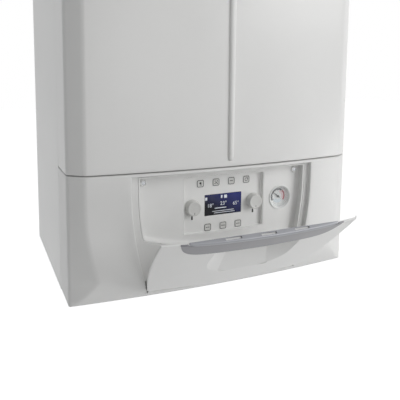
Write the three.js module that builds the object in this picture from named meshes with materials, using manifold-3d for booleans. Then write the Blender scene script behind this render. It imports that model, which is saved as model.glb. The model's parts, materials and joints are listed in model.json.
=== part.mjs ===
// A wall-hung condensing boiler with a built-in storage tank, in millimetres, +Z up.
// The casing is drawn with x = 0 at its middle, y = 0 where the front meets its chamfers and z = 0 at its
// lower edge, and is then hung so that the origin is the middle of the wall bracket's rear face.
import * as THREE from "three";
import { mergeVertices } from "three/addons/utils/BufferGeometryUtils.js";
import Module from "manifold-3d";

const wasm = await Module();
wasm.setup();

// Shared sizes
const sheet = 1.5;
const moulding = 2.8;
const fit = 0.3;
const overrun = 6;
const weld = 0.0005;

// What stands side by side in the casing and so sets its width and depth
const tankR = 158;
const tankSide = 12;
const tankBack = 8;
const tankFront = 3.7;
const coreR = 108;
const coreSide = 20;
const coreLane = 33;
const fanR = 78;
const valveLane = 13.5;
const valveSide = 38;
const rightRoom = Math.max(coreR + coreSide + sheet, fanR + valveLane + valveSide);

// Casing
const width = sheet + tankSide + 2 * tankR + coreLane + coreR + rightRoom;
const height = 900;
const chamferWide = 29;
const chamferDeep = 21.3;
const bow = 17.5;
const returnDeep = 80;
const panelDeep = tankFront + 2 * tankR + tankBack + 2 * sheet + fit;
const panelGap = 0.8;
const edgeSoft = 5;
const foldLip = 12;
const joggleLap = 24;

const half = width / 2;
const breakX = half - chamferWide;
const seamY = chamferDeep + returnDeep;
const backY = seamY + panelDeep;
const joggleX = half - moulding - fit;
const innerX = joggleX - sheet - fit;

// Fascia
const fasciaHigh = 237.5;
const seamGap = 3.2;
const flareHigh = 180;
const flareDraw = 21;
const chinHigh = 47;
const footDraw = 15.8;
const footBreak = 8;
const recessHigh = 232;
const recessLow = 10;
const recessHalf = 191;
const recessDraw = 31;
const recessStraight = 205;
const recessPower = 1.9;
const ledgeWide = 12.5;
const liner = 2.5;
const bottomLip = 14;

// Door
const openAngle = 46.5;
const hingeY = 2;
const hingeZ = 22;
const doorSide = 2.2;
const doorLow = 11.6;
const doorHigh = 231;
const doorBack = -0.6;
const doorTopBack = -8.8;
const troughR = 13;
const earR = 5;
const earThick = 5;
const pinR = 2.3;
const pocketHalf = 84;
const pocketFloorHalf = 40;
const pocketLow = 117.5;
const pocketFloorLow = 121;
const pocketStraight = 190;
const pocketHigh = 218;
const pocketSlope = 0.3;
const pocketTopY = -7;
const pocketLean = 0.34;
const pocketPower = 3;
const pocketWall = 2.4;
const gripHalf = 156;
const gripHigh = 30;
const gripPower = 4;
const gripThick = 2.2;
const slotWide = 30;
const slotDeep = 4.4;
const slotPitch = 66;
const slotInset = 3;

// Control tray
const trayFace = 16;
const trayThick = 2.5;
const trayCorner = 8;
const traySideLow = 106;
const trayLow = 88;
const trayFlange = 7;
const panelMid = 6.3;
const insertHalf = 88;
const insertLow = 102;
const insertHigh = 217.4;
const insertFace = 24;
const insertThick = 2;
const insertSoft = 3;
const screwZ = 215.7;
const screwHalf = 164.5;
const screwR = 2.1;
const screwHeadR = 4;

// Keys, knobs and display
const keySide = 14.6;
const keySoft = 3;
const keyPitch = 33.8;
const keyProud = 0.8;
const keyDeep = 3;
const keyTravel = 1;
const keyPlay = 0.4;
const upperKeys = 4;
const lowerKeys = 3;
const upperKeyZ = 201.7;
const lowerKeyZ = 112.4;
const knobR = 14.6;
const knobHigh = 14;
const knobHalf = 67.5;
const knobZ = 156.5;
const shaftR = 3;
const displayWide = 81;
const displayHigh = 42;
const displayZ = 156.5;

// Gauge
const gaugeX = 133.7;
const gaugeZ = 159.1;
const gaugeR = 24;
const dialR = 18.5;
const dialDeep = 8;
const gaugeLip = 1.4;
const gaugeBodyDeep = 20;
const capillaryR = 4;
const needleLong = 14.5;
const needleTurn = 52;
const lensThick = 1.2;

// Electronics
const boardY = 36.4;
const boardThick = 1.6;
const boxDeep = 56;
const boxLip = 6;

// Chassis
const plateZ = 5;
const frameFlange = 20;
const wallGap = 7.7;
const bracketHalf = 200;
const bracketHigh = 44;
const bracketDrop = 50;
const bracketZ = height - bracketDrop;
const hookX = 150;
const hookWide = 60;
const hookRise = 12;
const hookThick = 3;
const spacerR = 15;
const spacerX = 220;
const spacerZ = 60;
const barZ = 243;
const barHigh = 30;
const barY = 58;
const tabY = 22;
const tabWide = 26;
const tabDrop = 16;

// Storage tank
const tankDome = 45;
const tankWall = 1.5;
const cradleHigh = 118;
const cradleR = 106;
const cradleWide = 12;
const cradleTurn = 0.22;

// Expansion vessel
const vesselIn = 10;
const vesselR = tankR - vesselIn;
const vesselHigh = 100;
const vesselRoom = 65.2;
const vesselRim = 5;
const vesselGap = 45;

// Heat exchanger, burner and fan
const coreLong = 225;
const coreDrop = 200;
const coreRear = 29;
const coreZ = height - coreDrop;
const coreX = half - rightRoom;
const burnerThick = 18;
const burnerRim = 5;
const ductWide = 52;
const ductDeep = 36;
const fanGap = 9;
const fanDeep = 60;
const fanZ = coreZ - coreR - burnerRim - fanGap - fanR;
const fanWall = 2.5;
const wheelR = 56;
const wheelDeep = 34;
const bladeThick = 2;
const blades = 12;
const motorR = 40;
const motorDeep = 38;
const inletR = 26;

// Gas and water parts
const valveX = half - valveSide;
const valveIn = 54;
const valveDrop = 170;
const valveZ = fanZ - valveDrop;
const valveWide = 50;
const valveDeep = 66;
const valveHigh = 90;
const pumpSide = 30.5;
const pumpIn = 157;
const pumpX = coreX - pumpSide;
const pumpZ = 178;
const pumpR = 50;
const pumpDeep = 56;
const pumpMotorR = 42;
const pumpMotorDeep = 84;
const diverterIn = 49.5;
const diverterX = coreX + diverterIn;
const diverterSide = 50;
const actuatorR = 20;
const actuatorHigh = 56;
const siphonX = half - valveSide;
const siphonR = 27;
const siphonLow = 60;
const siphonHigh = 200;
const fillX = 100;
const fillY = 290;
const fillR = 16;
const fillHigh = 17;

// Pipes
const pipeR = 9;
const portIn = 85;
const portPitch = 70;
const tailDrop = 30;
const bend = 22;
const gasRun = 34;
const coldRun = 58;
const hotRun = 84;
const flowRun = 108;

// Coil connections and the mixer
const coilLane = 17;
const coilHigh = 75;
const coilIn = 58;
const coilTurn = tankR - coilIn;
const coilPortShare = 0.685;
const coilPort = coilTurn * coilPortShare;
const coilR = 7;
const coilSteps = 32;
const coilDropIn = 22;
const coilDropX = pumpX - pumpR - coilDropIn;
const bossStep = 24;
const bossR = 14;
const mixerR = 31;
const mixerLong = 46;

// Flue
const spigotRise = 4;
const flueIn = 125;
const flueR = 30;
const airR = 50;
const flueWall = 1.5;
const collarRise = 28;
const collarFlange = 22;
const collarThick = 3;

// Front rib
const ribHalfHigh = 8;
const ribHalfLow = 5.2;
const ribProud = 4.6;
const ribEnd = 12;

// Places that follow the back frame, the tank and the heat exchanger
const frameY = backY - sheet - fit - sheet;
const frameLow = plateZ + sheet + fit;
const tankX = -(half - sheet - tankSide - tankR);
const tankY = frameY - tankBack - tankR;
const tankLow = frameLow + cradleHigh;
const vesselLow = height - vesselRoom - vesselHigh;
const tankTop = vesselLow - vesselGap;
const coreBack = frameY - coreRear;
const coreFront = coreBack - coreLong;
const flueY = coreFront + flueIn;
const fanNear = coreFront - fit - burnerThick - ductDeep;
const mixerY = fanNear + fanDeep + fit + mixerLong / 2;
const valveY = mixerY - valveIn;
const coilRun = tankY - tankR - coilLane;
const mixerFar = fanNear + fanDeep + fit + mixerLong;
const pumpY = Math.max(coilRun + pumpIn, mixerFar + 2 * pipeR);
const portY = pumpY + portIn;

// Counts of facets
const roundSides = 20;
const smallSides = 8;
const pipeSides = 8;
const portSides = 16;
const bodySides = 12;
const bowSteps = 8;
const sagSteps = 6;
const cornerSteps = 2;
const bendSteps = 2;
const domeSteps = 3;

const axisX = new THREE.Vector3(1, 0, 0);
const axisY = new THREE.Vector3(0, 1, 0);
const axisZ = new THREE.Vector3(0, 0, 1);
const alongX = new THREE.Matrix4().makeBasis(axisY, axisZ, axisX);
const alongY = new THREE.Matrix4().makeBasis(axisX, axisZ, axisY.clone().negate());

// Solid from a closed geometry, turned the right way out
function solid(geometry) {
  const loose = geometry.index ? geometry.toNonIndexed() : geometry;
  const bare = new THREE.BufferGeometry().setAttribute("position", loose.getAttribute("position"));
  const merged = mergeVertices(bare, weld);
  const make = (faces) =>
    new wasm.Manifold(
      new wasm.Mesh({ numProp: 3, vertProperties: merged.attributes.position.array, triVerts: faces }),
    );
  const faces = new Uint32Array(merged.index.array);
  const body = make(faces);
  return body.volume() < 0 ? make(faces.reverse()) : body;
}

function geometryOf(body) {
  const mesh = body.getMesh();
  const geometry = new THREE.BufferGeometry();
  geometry.setAttribute("position", new THREE.BufferAttribute(new Float32Array(mesh.vertProperties), 3));
  geometry.setIndex(new THREE.BufferAttribute(new Uint32Array(mesh.triVerts), 1));
  const faceted = geometry.toNonIndexed();
  faceted.computeVertexNormals();
  return faceted;
}

const join = (...bodies) => bodies.reduce((a, b) => a.add(b));
const cut = (body, ...tools) => tools.reduce((a, b) => a.subtract(b), body);

// Basic forms
const outlineOf = (points) => new THREE.Shape(points.map(([a, b]) => new THREE.Vector2(a, b)));

function extruded(shape, depth, steps) {
  return new THREE.ExtrudeGeometry(shape, { depth, bevelEnabled: false, curveSegments: steps });
}

function prismX(shape, low, high, steps = cornerSteps) {
  return solid(extruded(shape, high - low, steps).applyMatrix4(alongX).translate(low, 0, 0));
}

function prismY(shape, near, far, steps = cornerSteps) {
  return solid(extruded(shape, far - near, steps).applyMatrix4(alongY).translate(0, far, 0));
}

function prismZ(shape, low, high, steps = cornerSteps) {
  return solid(extruded(shape, high - low, steps).translate(0, 0, low));
}

function block([x0, x1], [y0, y1], [z0, z1]) {
  const box = new THREE.BoxGeometry(x1 - x0, y1 - y0, z1 - z0);
  return solid(box.translate((x0 + x1) / 2, (y0 + y1) / 2, (z0 + z1) / 2));
}

function roundedBox(a0, a1, b0, b1, soft) {
  const shape = new THREE.Shape();
  shape.moveTo(a0 + soft, b0);
  shape.lineTo(a1 - soft, b0);
  shape.absarc(a1 - soft, b0 + soft, soft, -Math.PI / 2, 0);
  shape.lineTo(a1, b1 - soft);
  shape.absarc(a1 - soft, b1 - soft, soft, 0, Math.PI / 2);
  shape.lineTo(a0 + soft, b1);
  shape.absarc(a0 + soft, b1 - soft, soft, Math.PI / 2, Math.PI);
  shape.lineTo(a0, b0 + soft);
  shape.absarc(a0 + soft, b0 + soft, soft, Math.PI, 1.5 * Math.PI);
  return shape;
}

// Round bars and discs: place gives the two coordinates across the axis
function drumX([y, z], radius, low, high, sides = roundSides, radiusHigh = radius) {
  const bar = new THREE.CylinderGeometry(radiusHigh, radius, high - low, sides).rotateZ(-Math.PI / 2);
  return solid(bar.translate((low + high) / 2, y, z));
}

function drumY([x, z], radius, low, high, sides = roundSides, radiusHigh = radius) {
  const bar = new THREE.CylinderGeometry(radiusHigh, radius, high - low, sides);
  return solid(bar.translate(x, (low + high) / 2, z));
}

function drumZ([x, y], radius, low, high, sides = roundSides, radiusHigh = radius) {
  const bar = new THREE.CylinderGeometry(radiusHigh, radius, high - low, sides).rotateX(Math.PI / 2);
  return solid(bar.translate(x, y, (low + high) / 2));
}

// Turned forms: profile points are [radius, distance along the axis]
function turnedY([x, z], profile, sides = roundSides) {
  const points = profile.map(([r, d]) => new THREE.Vector2(r, d));
  return solid(new THREE.LatheGeometry(points, sides).translate(x, 0, z));
}

function turnedZ([x, y], profile, sides = roundSides) {
  const points = profile.map(([r, d]) => new THREE.Vector2(r, d));
  return solid(new THREE.LatheGeometry(points, sides).rotateX(Math.PI / 2).translate(x, y, 0));
}

// Round bar swept through points, kept free of twist
function swept(points, radius, sides = pipeSides) {
  const rings = [];
  let across = null;
  points.forEach((point, i) => {
    const before = points[Math.max(0, i - 1)];
    const after = points[Math.min(points.length - 1, i + 1)];
    const ahead = after.clone().sub(before).normalize();
    const start = Math.abs(ahead.z) > Math.SQRT1_2 ? axisX : axisZ;
    across = (across ?? start).clone().addScaledVector(ahead, -(across ?? start).dot(ahead)).normalize();
    const up = ahead.clone().cross(across);
    const ring = [];
    for (let k = 0; k < sides; k++) {
      const turn = (2 * Math.PI * (k + 0.5)) / sides;
      const spoke = across.clone().multiplyScalar(Math.cos(turn)).addScaledVector(up, Math.sin(turn));
      ring.push(point.clone().addScaledVector(spoke, radius).toArray());
    }
    rings.push(ring);
  });
  const last = (rings.length - 1) * sides;
  const faces = [];
  for (let k = 0; k < last; k++) {
    const next = k % sides === sides - 1 ? k + 1 - sides : k + 1;
    faces.push(k, next, next + sides, k, next + sides, k + sides);
  }
  for (let k = 1; k < sides - 1; k++) {
    faces.push(0, k + 1, k, last, last + k, last + k + 1);
  }
  const geometry = new THREE.BufferGeometry();
  geometry.setAttribute("position", new THREE.Float32BufferAttribute(rings.flat(2), 3));
  return solid(geometry.setIndex(faces));
}

// Pipe through corner points, with the same bend at each corner
function pipe(points, radius = pipeR, turn = bend) {
  const corners = points.map(([x, y, z]) => new THREE.Vector3(x, y, z));
  const path = [corners[0]];
  for (let i = 1; i < corners.length - 1; i++) {
    const before = corners[i - 1].clone().sub(corners[i]).setLength(turn).add(corners[i]);
    const after = corners[i + 1].clone().sub(corners[i]).setLength(turn).add(corners[i]);
    path.push(...new THREE.QuadraticBezierCurve3(before, corners[i], after).getPoints(bendSteps));
  }
  return swept([...path, corners[corners.length - 1]], radius);
}

// Closed body through rings of points, each ring with as many points as the first
function loft(rings, flat) {
  const contour = rings[0].map((point) => new THREE.Vector2(...flat(point)));
  if (THREE.ShapeUtils.isClockWise(contour)) return loft(rings.map((ring) => [...ring].reverse()), flat);
  const count = rings[0].length;
  const faces = [];
  for (let k = 0; k < rings.length - 1; k++) {
    for (let i = 0; i < count; i++) {
      const a = k * count + i;
      const b = k * count + ((i + 1) % count);
      faces.push(a, b, b + count, a, b + count, a + count);
    }
  }
  const last = (rings.length - 1) * count;
  const end = rings[rings.length - 1].map((point) => new THREE.Vector2(...flat(point)));
  for (const [a, b, c] of THREE.ShapeUtils.triangulateShape(contour, [])) faces.push(c, b, a);
  for (const [a, b, c] of THREE.ShapeUtils.triangulateShape(end, [])) faces.push(last + a, last + b, last + c);
  const geometry = new THREE.BufferGeometry();
  geometry.setAttribute("position", new THREE.Float32BufferAttribute(rings.flat(2), 3));
  return solid(geometry.setIndex(faces));
}

const seenFromAbove = ([x, y]) => [x, y];
const seenFromFront = ([x, , z]) => [x, z];

// Front surface of the casing
const bowAt = (x) => -bow * (1 - (x / breakX) ** 2);
const footAt = (x) => chamferDeep - footDraw * (1 - (x / half) ** 2);

function frontAt(x, z) {
  if (z >= chinHigh) return bowAt(x);
  const tuck = (1 - z / chinHigh) ** 2;
  return bowAt(x) + (footAt(x) - bowAt(x)) * tuck;
}

// Where the front meets the chamfer: it flares inwards to the chin and runs out to the lower corner
function breakAt(z) {
  if (z >= flareHigh) return breakX;
  const chinX = breakX - flareDraw;
  if (z >= chinHigh) return breakX - flareDraw * ((flareHigh - z) / (flareHigh - chinHigh)) ** 2;
  return chinX + (half - footBreak - chinX) * (1 - z / chinHigh);
}

// Polyline with its sharp corners softened
function softened(points, reach) {
  const out = [points[0]];
  for (let i = 1; i < points.length - 1; i++) {
    const [p, q, r] = [points[i - 1], points[i], points[i + 1]].map(([x, y]) => new THREE.Vector2(x, y));
    const before = Math.min(reach, p.distanceTo(q) * 0.4);
    const after = Math.min(reach, r.distanceTo(q) * 0.4);
    const start = p.clone().sub(q).setLength(before).add(q);
    const stop = r.clone().sub(q).setLength(after).add(q);
    const curve = new THREE.QuadraticBezierCurve(start, q, stop);
    for (const point of curve.getPoints(cornerSteps)) out.push([point.x, point.y]);
  }
  out.push(points[points.length - 1]);
  return out;
}

// Plan outline of the front from the left return to the right one, at one height
function planOutline(z) {
  const x = breakAt(z);
  const front = [];
  for (let i = 0; i <= bowSteps; i++) {
    const across = -x + (2 * x * i) / bowSteps;
    front.push([across, frontAt(across, z)]);
  }
  const left = softened([[-half, seamY], [-half, chamferDeep], front[0], front[1]], edgeSoft);
  const right = softened([front[bowSteps - 1], front[bowSteps], [half, chamferDeep], [half, seamY]], edgeSoft);
  return [...left.slice(0, -1), ...front.slice(1, -1), ...right.slice(1)];
}

// The same polyline moved to its left by a distance, with mitred corners
function inward(points, distance) {
  const side = (p, q) => new THREE.Vector2(p[1] - q[1], q[0] - p[0]).normalize();
  return points.map((point, i) => {
    const first = i > 0 ? side(points[i - 1], point) : side(point, points[i + 1]);
    const second = i < points.length - 1 ? side(point, points[i + 1]) : first;
    const mitre = first.clone().add(second).normalize();
    const reach = distance / mitre.dot(first);
    return [point[0] + mitre.x * reach, point[1] + mitre.y * reach];
  });
}

// Wall of one thickness that follows the plan outline through the given heights
function frontWall(levels, thickness) {
  const rings = levels.map((z) => {
    const outer = planOutline(z);
    const inner = inward(outer, thickness).reverse();
    return [...outer, ...inner].map(([x, y]) => [x, y, z]);
  });
  return loft(rings, seenFromAbove);
}

// All that lies behind the front surface, back to the side seams
function frontMass(levels) {
  return loft(
    levels.map((z) => planOutline(z).map(([x, y]) => [x, y, z])),
    seenFromAbove,
  );
}

// Heights at which the fascia and the door are drawn
const chinShares = [0, 0.2, 0.44, 0.7, 1];
const flareShares = [0.33, 0.66, 1];
const chinLevels = chinShares.map((share) => chinHigh * share);
const flareLevels = flareShares.map((share) => chinHigh + (flareHigh - chinHigh) * share);
const fasciaLevels = [...chinLevels, ...flareLevels, fasciaHigh];

// Half width of the recess at one height
function recessAt(z) {
  const fall = Math.max(0, recessStraight - z) / (recessStraight - recessLow);
  return recessHalf - recessDraw * fall ** recessPower;
}

const sideShares = [0, 0.12, 0.3, 0.5, 0.72, 1];

// Front view of a form that follows the recess, from its lower edge to its upper one
function shieldOutline(low, high, grow) {
  const levels = sideShares.map((share) => low + (recessStraight - low) * share);
  const right = [...levels, high].map((z) => [recessAt(z) + grow, z]);
  right[0][1] = low - grow;
  right[right.length - 1][1] = high + grow;
  const left = right.map(([x, z]) => [-x, z]).reverse();
  return outlineOf([...right, ...left]);
}

// Front view of the tray's window in the ledge, whose lower edge sags towards the middle
function windowOutline(grow) {
  const low = traySideLow - grow;
  const high = recessHigh - liner + grow;
  const cornerZ = traySideLow + trayCorner;
  const middleZ = (recessStraight + cornerZ) / 2;
  const sideX = (z) => recessAt(z) - ledgeWide + grow;
  const endX = sideX(traySideLow) - trayCorner;
  const shape = new THREE.Shape();
  shape.moveTo(-sideX(high), high);
  shape.lineTo(-sideX(recessStraight), recessStraight);
  shape.lineTo(-sideX(middleZ), middleZ);
  shape.lineTo(-sideX(cornerZ), cornerZ);
  shape.quadraticCurveTo(-sideX(traySideLow), low, -endX, low);
  for (let i = 1; i <= sagSteps; i++) {
    const share = (2 * i) / sagSteps - 1;
    shape.lineTo(share * endX, low - (traySideLow - trayLow) * (1 - share ** 2));
  }
  shape.quadraticCurveTo(sideX(traySideLow), low, sideX(cornerZ), cornerZ);
  shape.lineTo(sideX(middleZ), middleZ);
  shape.lineTo(sideX(recessStraight), recessStraight);
  shape.lineTo(sideX(high), high);
  return shape;
}

// Looks
const look = (color, roughness, metalness = 0) =>
  new THREE.MeshStandardMaterial({ color, roughness, metalness });
const white = () => look(0xe9e9e8, 0.35);
const paleGrey = () => look(0xe2e2e0, 0.45);
const silver = () => look(0xa5a5ad, 0.4, 0.3);
const zinc = () => look(0xb9bcbf, 0.45, 0.8);
const steel = () => look(0xc4c6c8, 0.3, 0.9);
const castAlloy = () => look(0xa9acae, 0.6, 0.7);
const brass = () => look(0xc2a15a, 0.35, 0.9);
const copper = () => look(0xc0764a, 0.35, 0.9);
const black = () => look(0x24262a, 0.5);
const darkGrey = () => look(0x55585c, 0.6);
const red = () => look(0xb5281f, 0.5);
const navy = () => look(0x121a3c, 0.15);
const clear = () => look(0xf2f6f8, 0.05);
const green = () => look(0x1f6b3a, 0.6);
const dial = () => look(0xf4f4f2, 0.4);

const boiler = new THREE.Group();

function add(name, body, material, carrier = boiler) {
  const mesh = new THREE.Mesh(geometryOf(body), material);
  mesh.name = name;
  carrier.add(mesh);
}

// Room behind the lips for the front edges of the side panels
const tabRoom = block([-half, half], [seamY + panelGap - joggleLap - fit, seamY + overrun], [-height, 2 * height]);

// Front cover: a bowed sheet with chamfers, returns, a closed top and a tapering rib
function frontCover() {
  const low = fasciaHigh + seamGap;
  const ribRing = (z, halfWide, proud) => {
    const points = [];
    for (let i = 0; i <= 6; i++) {
      const turn = (Math.PI * i) / 6;
      const x = -halfWide * Math.cos(turn);
      points.push([x, bowAt(x) - proud * Math.sin(turn), z]);
    }
    return [...points, [halfWide, 0, z], [-halfWide, 0, z]];
  };
  const rib = loft(
    [
      ribRing(low + ribEnd, ribHalfLow / 2, ribProud / 4),
      ribRing(low + 2 * ribEnd, ribHalfLow, ribProud),
      ribRing(height, ribHalfHigh, ribProud),
    ],
    seenFromAbove,
  );
  const backing = frontWall([low, height], sheet);
  const inside = cut(frontMass([low, height]), backing);
  return join(
    backing,
    cut(rib, inside),
    frontMass([height - sheet, height]),
    cut(frontWall([low, low + sheet], bottomLip), tabRoom),
  );
}

// Fascia: outer wall, lined recess with a ledge for the door, and the trough in which the door turns
function lowerFascia() {
  const top = [fasciaHigh - moulding, fasciaHigh];
  const foot = [0, moulding].map((z) => {
    const outer = planOutline(z);
    const inner = outer.map(([x, y]) => [(x * (half - bottomLip)) / half, Math.min(y + bottomLip, seamY)]);
    return [...outer, ...inner.reverse()].map(([x, y]) => [x, y, z]);
  });
  const lips = cut(join(frontWall(top, bottomLip), loft(foot, seenFromAbove)), tabRoom);
  const skin = join(frontWall(fasciaLevels, moulding), lips);
  const endX = recessAt(hingeZ);
  const trough = [hingeY, hingeZ];
  const lining = join(
    prismY(shieldOutline(recessLow, recessHigh, liner), -bow - overrun, liner),
    drumX(trough, troughR + liner, -endX - liner, endX + liner),
  ).intersect(frontMass(fasciaLevels));
  const pinHole = drumX(trough, pinR + fit, -half, half, smallSides);
  return cut(
    join(skin, lining),
    prismY(shieldOutline(recessLow, recessHigh, 0), -bow - overrun, 0),
    drumX(trough, troughR, -endX, endX),
    prismY(windowOutline(0), -overrun, liner + overrun),
    pinHole.intersect(block([-endX - overrun, endX + overrun], [-half, half], [0, fasciaHigh])),
  );
}

// Closed body between the door's front surface and its back plane, drawn in by a distance
function doorMass(inset, back = doorBack) {
  const low = doorLow + inset;
  const high = doorHigh - inset;
  const shares = [0, 0.16, 0.36, 0.66, 1];
  const below = shares.map((share) => low + (chinHigh - low) * share);
  const above = [0.2, 0.44, 0.7, 1].map((share) => chinHigh + (recessStraight - chinHigh) * share);
  const rings = [...below, ...above, high].map((z) => {
    const x = recessAt(z) - doorSide - inset;
    const ring = [];
    for (let i = 0; i <= bowSteps; i++) {
      const across = -x + (2 * x * i) / bowSteps;
      ring.push([across, frontAt(across, z) + inset, z]);
    }
    const rear = Math.max(back, frontAt(x, z) + inset + moulding);
    return [...ring, [x, rear, z], [-x, rear, z]];
  });
  return loft(rings, seenFromAbove);
}

// Finger pocket: a scoop whose floor leans back and whose sides flare out to the rim
function pocket(grow, front) {
  const steps = 8;
  const loop = (halfWide, low, depthAt) => {
    const side = [];
    for (let i = 0; i <= steps; i++) {
      const turn = (Math.PI / 2) * (i / steps);
      const x = (halfWide + grow) * Math.cos(turn) ** (2 / pocketPower);
      const z = pocketStraight - (pocketStraight - low + grow) * Math.sin(turn) ** (2 / pocketPower);
      side.push([x, z]);
    }
    side[steps][0] = 0;
    const right = [[halfWide + grow, pocketHigh + grow], ...side];
    const left = right.slice(0, -1).map(([x, z]) => [-x, z]);
    return [...right, ...left.reverse()].map(([x, z]) => [x, depthAt(x, z), z]);
  };
  const floorAt = (x, z) => -bow + pocketSlope * (z - pocketLow) + grow;
  const rings = [
    loop(pocketHalf, pocketLow, (x, z) => front(x, z)),
    loop(pocketFloorHalf, pocketFloorLow, floorAt),
  ];
  return rings;
}

// Space in front of the pocket's upper back, which leans forward so that it hides behind the grip
function roofed(grow) {
  const near = -bow - 2 * overrun;
  const high = pocketHigh + grow + overrun;
  const roofAt = (z) => pocketTopY + grow + pocketLean * (pocketHigh - z);
  return prismX(outlineOf([[near, 0], [roofAt(0), 0], [roofAt(high), high], [near, high]]), -half, half);
}

// Crescent of the grip, seen from the front
function gripOutline(grow) {
  const steps = 12;
  const points = [[gripHalf + grow, doorHigh + overrun], [-gripHalf - grow, doorHigh + overrun]];
  for (let i = 0; i <= steps; i++) {
    const share = -1 + (2 * i) / steps;
    points.push([share * (gripHalf + grow), doorHigh - gripHigh * (1 - Math.abs(share) ** gripPower) - grow]);
  }
  return outlineOf(points);
}

function doorHandle() {
  const crescent = prismY(gripOutline(0), -bow - overrun, doorTopBack);
  const slots = [-1, 0, 1].map((place) => {
    const x = place * slotPitch;
    const y = bowAt(x) + gripThick + slotInset / 2;
    return block([x - slotWide / 2, x + slotWide / 2], [y, y + slotDeep], [pocketHigh, doorHigh + overrun]);
  });
  return cut(doorMass(0).intersect(crescent), doorMass(gripThick), ...slots);
}

function doorShell() {
  const skin = cut(doorMass(0), doorMass(moulding, overrun));
  const seat = prismY(gripOutline(moulding), -bow - overrun, doorTopBack);
  const rebate = cut(doorMass(moulding / 2), doorMass(2 * moulding, overrun)).intersect(seat);
  const gripRoom = cut(
    doorMass(-fit).intersect(prismY(gripOutline(fit), -bow - overrun, 0)),
    doorMass(gripThick + fit, overrun),
  );
  const well = loft(pocket(pocketWall, (x, z) => frontAt(x, z) + pocketWall), seenFromFront);
  const body = well.intersect(roofed(pocketWall));
  const hollow = pocket(0, () => -bow - overrun);
  const rim = pocket(0, (x, z) => frontAt(x, z))[0];
  const scoop = loft([hollow[0], rim, hollow[1]], seenFromFront).intersect(roofed(0));
  const endX = recessAt(hingeZ) - doorSide;
  const ear = (side) => {
    const inner = side * (endX - earThick);
    const outer = side * endX;
    const [low, high] = [Math.min(inner, outer), Math.max(inner, outer)];
    const arm = block([low, high], [frontAt(endX, hingeZ) + moulding / 2, hingeY], [hingeZ - earR, hingeZ + earR]);
    return join(arm, drumX([hingeY, hingeZ], earR, low, high, smallSides));
  };
  const pinHole = drumX([hingeY, hingeZ], pinR + fit, -half, half, smallSides);
  const topTrim = block([-half, half], [doorTopBack, overrun], [pocketHigh, doorHigh + overrun]);
  const dish = cut(join(skin, rebate), topTrim);
  return cut(join(cut(dish, gripRoom), body, ear(-1), ear(1)), scoop, pinHole);
}

// Tray behind the door, dished below the ledge, with a window for the control insert
function controlTray() {
  const walls = prismY(windowOutline(-fit), fit, trayFace + trayThick);
  const flange = prismY(windowOutline(trayFlange), liner + fit, 2 * liner + fit);
  const room = prismY(windowOutline(-fit - trayThick), -overrun, trayFace);
  const insertHole = roundedBox(
    panelMid - insertHalf, panelMid + insertHalf, insertLow, insertHigh, insertSoft,
  );
  const bossBack = tabY - fit;
  const screws = [-1, 1].map((side) => panelMid / 3 + side * screwHalf);
  const bosses = screws.map((x) => drumY([x, screwZ], screwHeadR + trayThick, trayFace, bossBack, smallSides));
  const holes = screws.map((x) => drumY([x, screwZ], screwR + fit, 0, barY, smallSides));
  const above = block([-half, half], [0, barY], [fasciaHigh - moulding - fit, height]);
  return cut(
    join(walls, cut(flange, prismY(windowOutline(-fit - trayThick), 0, barY), above), ...bosses),
    room,
    prismY(insertHole, 0, barY),
    drumY([gaugeX, gaugeZ], gaugeR + fit, 0, barY),
    ...holes,
  );
}

const upperKeyX = (i) => panelMid + (i - (upperKeys - 1) / 2) * keyPitch + 1.5 * fit;
const lowerKeyX = (i) => panelMid + (i - (lowerKeys - 1) / 2) * keyPitch;

const keyPlaces = [
  ...Array.from({ length: upperKeys }, (_, i) => [upperKeyX(i), upperKeyZ]),
  ...Array.from({ length: lowerKeys }, (_, i) => [lowerKeyX(i), lowerKeyZ]),
];
const knobPlaces = [-1, 1].map((side) => [panelMid + side * knobHalf, knobZ]);

// Insert that carries the keys, the knobs and the display, seated behind the tray's face
function controlInsert() {
  const outline = (grow) =>
    roundedBox(
      panelMid - insertHalf - grow, panelMid + insertHalf + grow, insertLow - grow, insertHigh + grow, insertSoft,
    );
  const back = insertFace + insertThick;
  const cup = cut(
    prismY(outline(-fit), trayFace + fit, back),
    prismY(outline(-fit - insertThick), 0, insertFace),
  );
  const flangeNear = trayFace + trayThick + fit;
  const flange = cut(
    prismY(outline(boxLip - fit), flangeNear, flangeNear + insertThick),
    prismY(outline(-fit - insertThick), 0, barY),
  );
  const keyHoles = keyPlaces.map(([x, z]) => {
    const r = keySide / 2 + keyPlay;
    return prismY(roundedBox(x - r, x + r, z - r, z + r, keySoft), 0, barY);
  });
  const knobHoles = knobPlaces.map(([x, z]) => drumY([x, z], shaftR + fit, 0, barY, smallSides));
  const glass = block(
    [panelMid - displayWide / 2 - fit, panelMid + displayWide / 2 + fit],
    [0, barY],
    [displayZ - displayHigh / 2 - fit, displayZ + displayHigh / 2 + fit],
  );
  return cut(join(cup, flange), ...keyHoles, ...knobHoles, glass);
}

function key([x, z]) {
  const r = keySide / 2;
  const near = insertFace - keyProud;
  const cap = prismY(roundedBox(x - r, x + r, z - r, z + r, keySoft), near, near + keyDeep);
  return join(cap, drumY([x, z], shaftR, near + keyDeep / 2, near + 2 * keyDeep, smallSides));
}

// Knob: flared foot, slightly tapered grip, dished face and a shaft
function knob([x, z]) {
  const face = insertFace - knobHigh;
  const foot = insertFace - 2 * fit;
  const rim = knobHigh / 10;
  const profile = [
    [0, face + rim],
    [knobR * 0.72, face + rim],
    [knobR * 0.86, face],
    [knobR - rim, face],
    [knobR - rim / 2, face + rim],
    [knobR, foot - 3 * rim],
    [knobR + rim, foot - 2 * rim],
    [knobR + rim, foot],
    [shaftR, foot],
    [shaftR, boardY - keyDeep],
    [0, boardY - keyDeep],
  ];
  return turnedY([x, z], profile);
}

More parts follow.
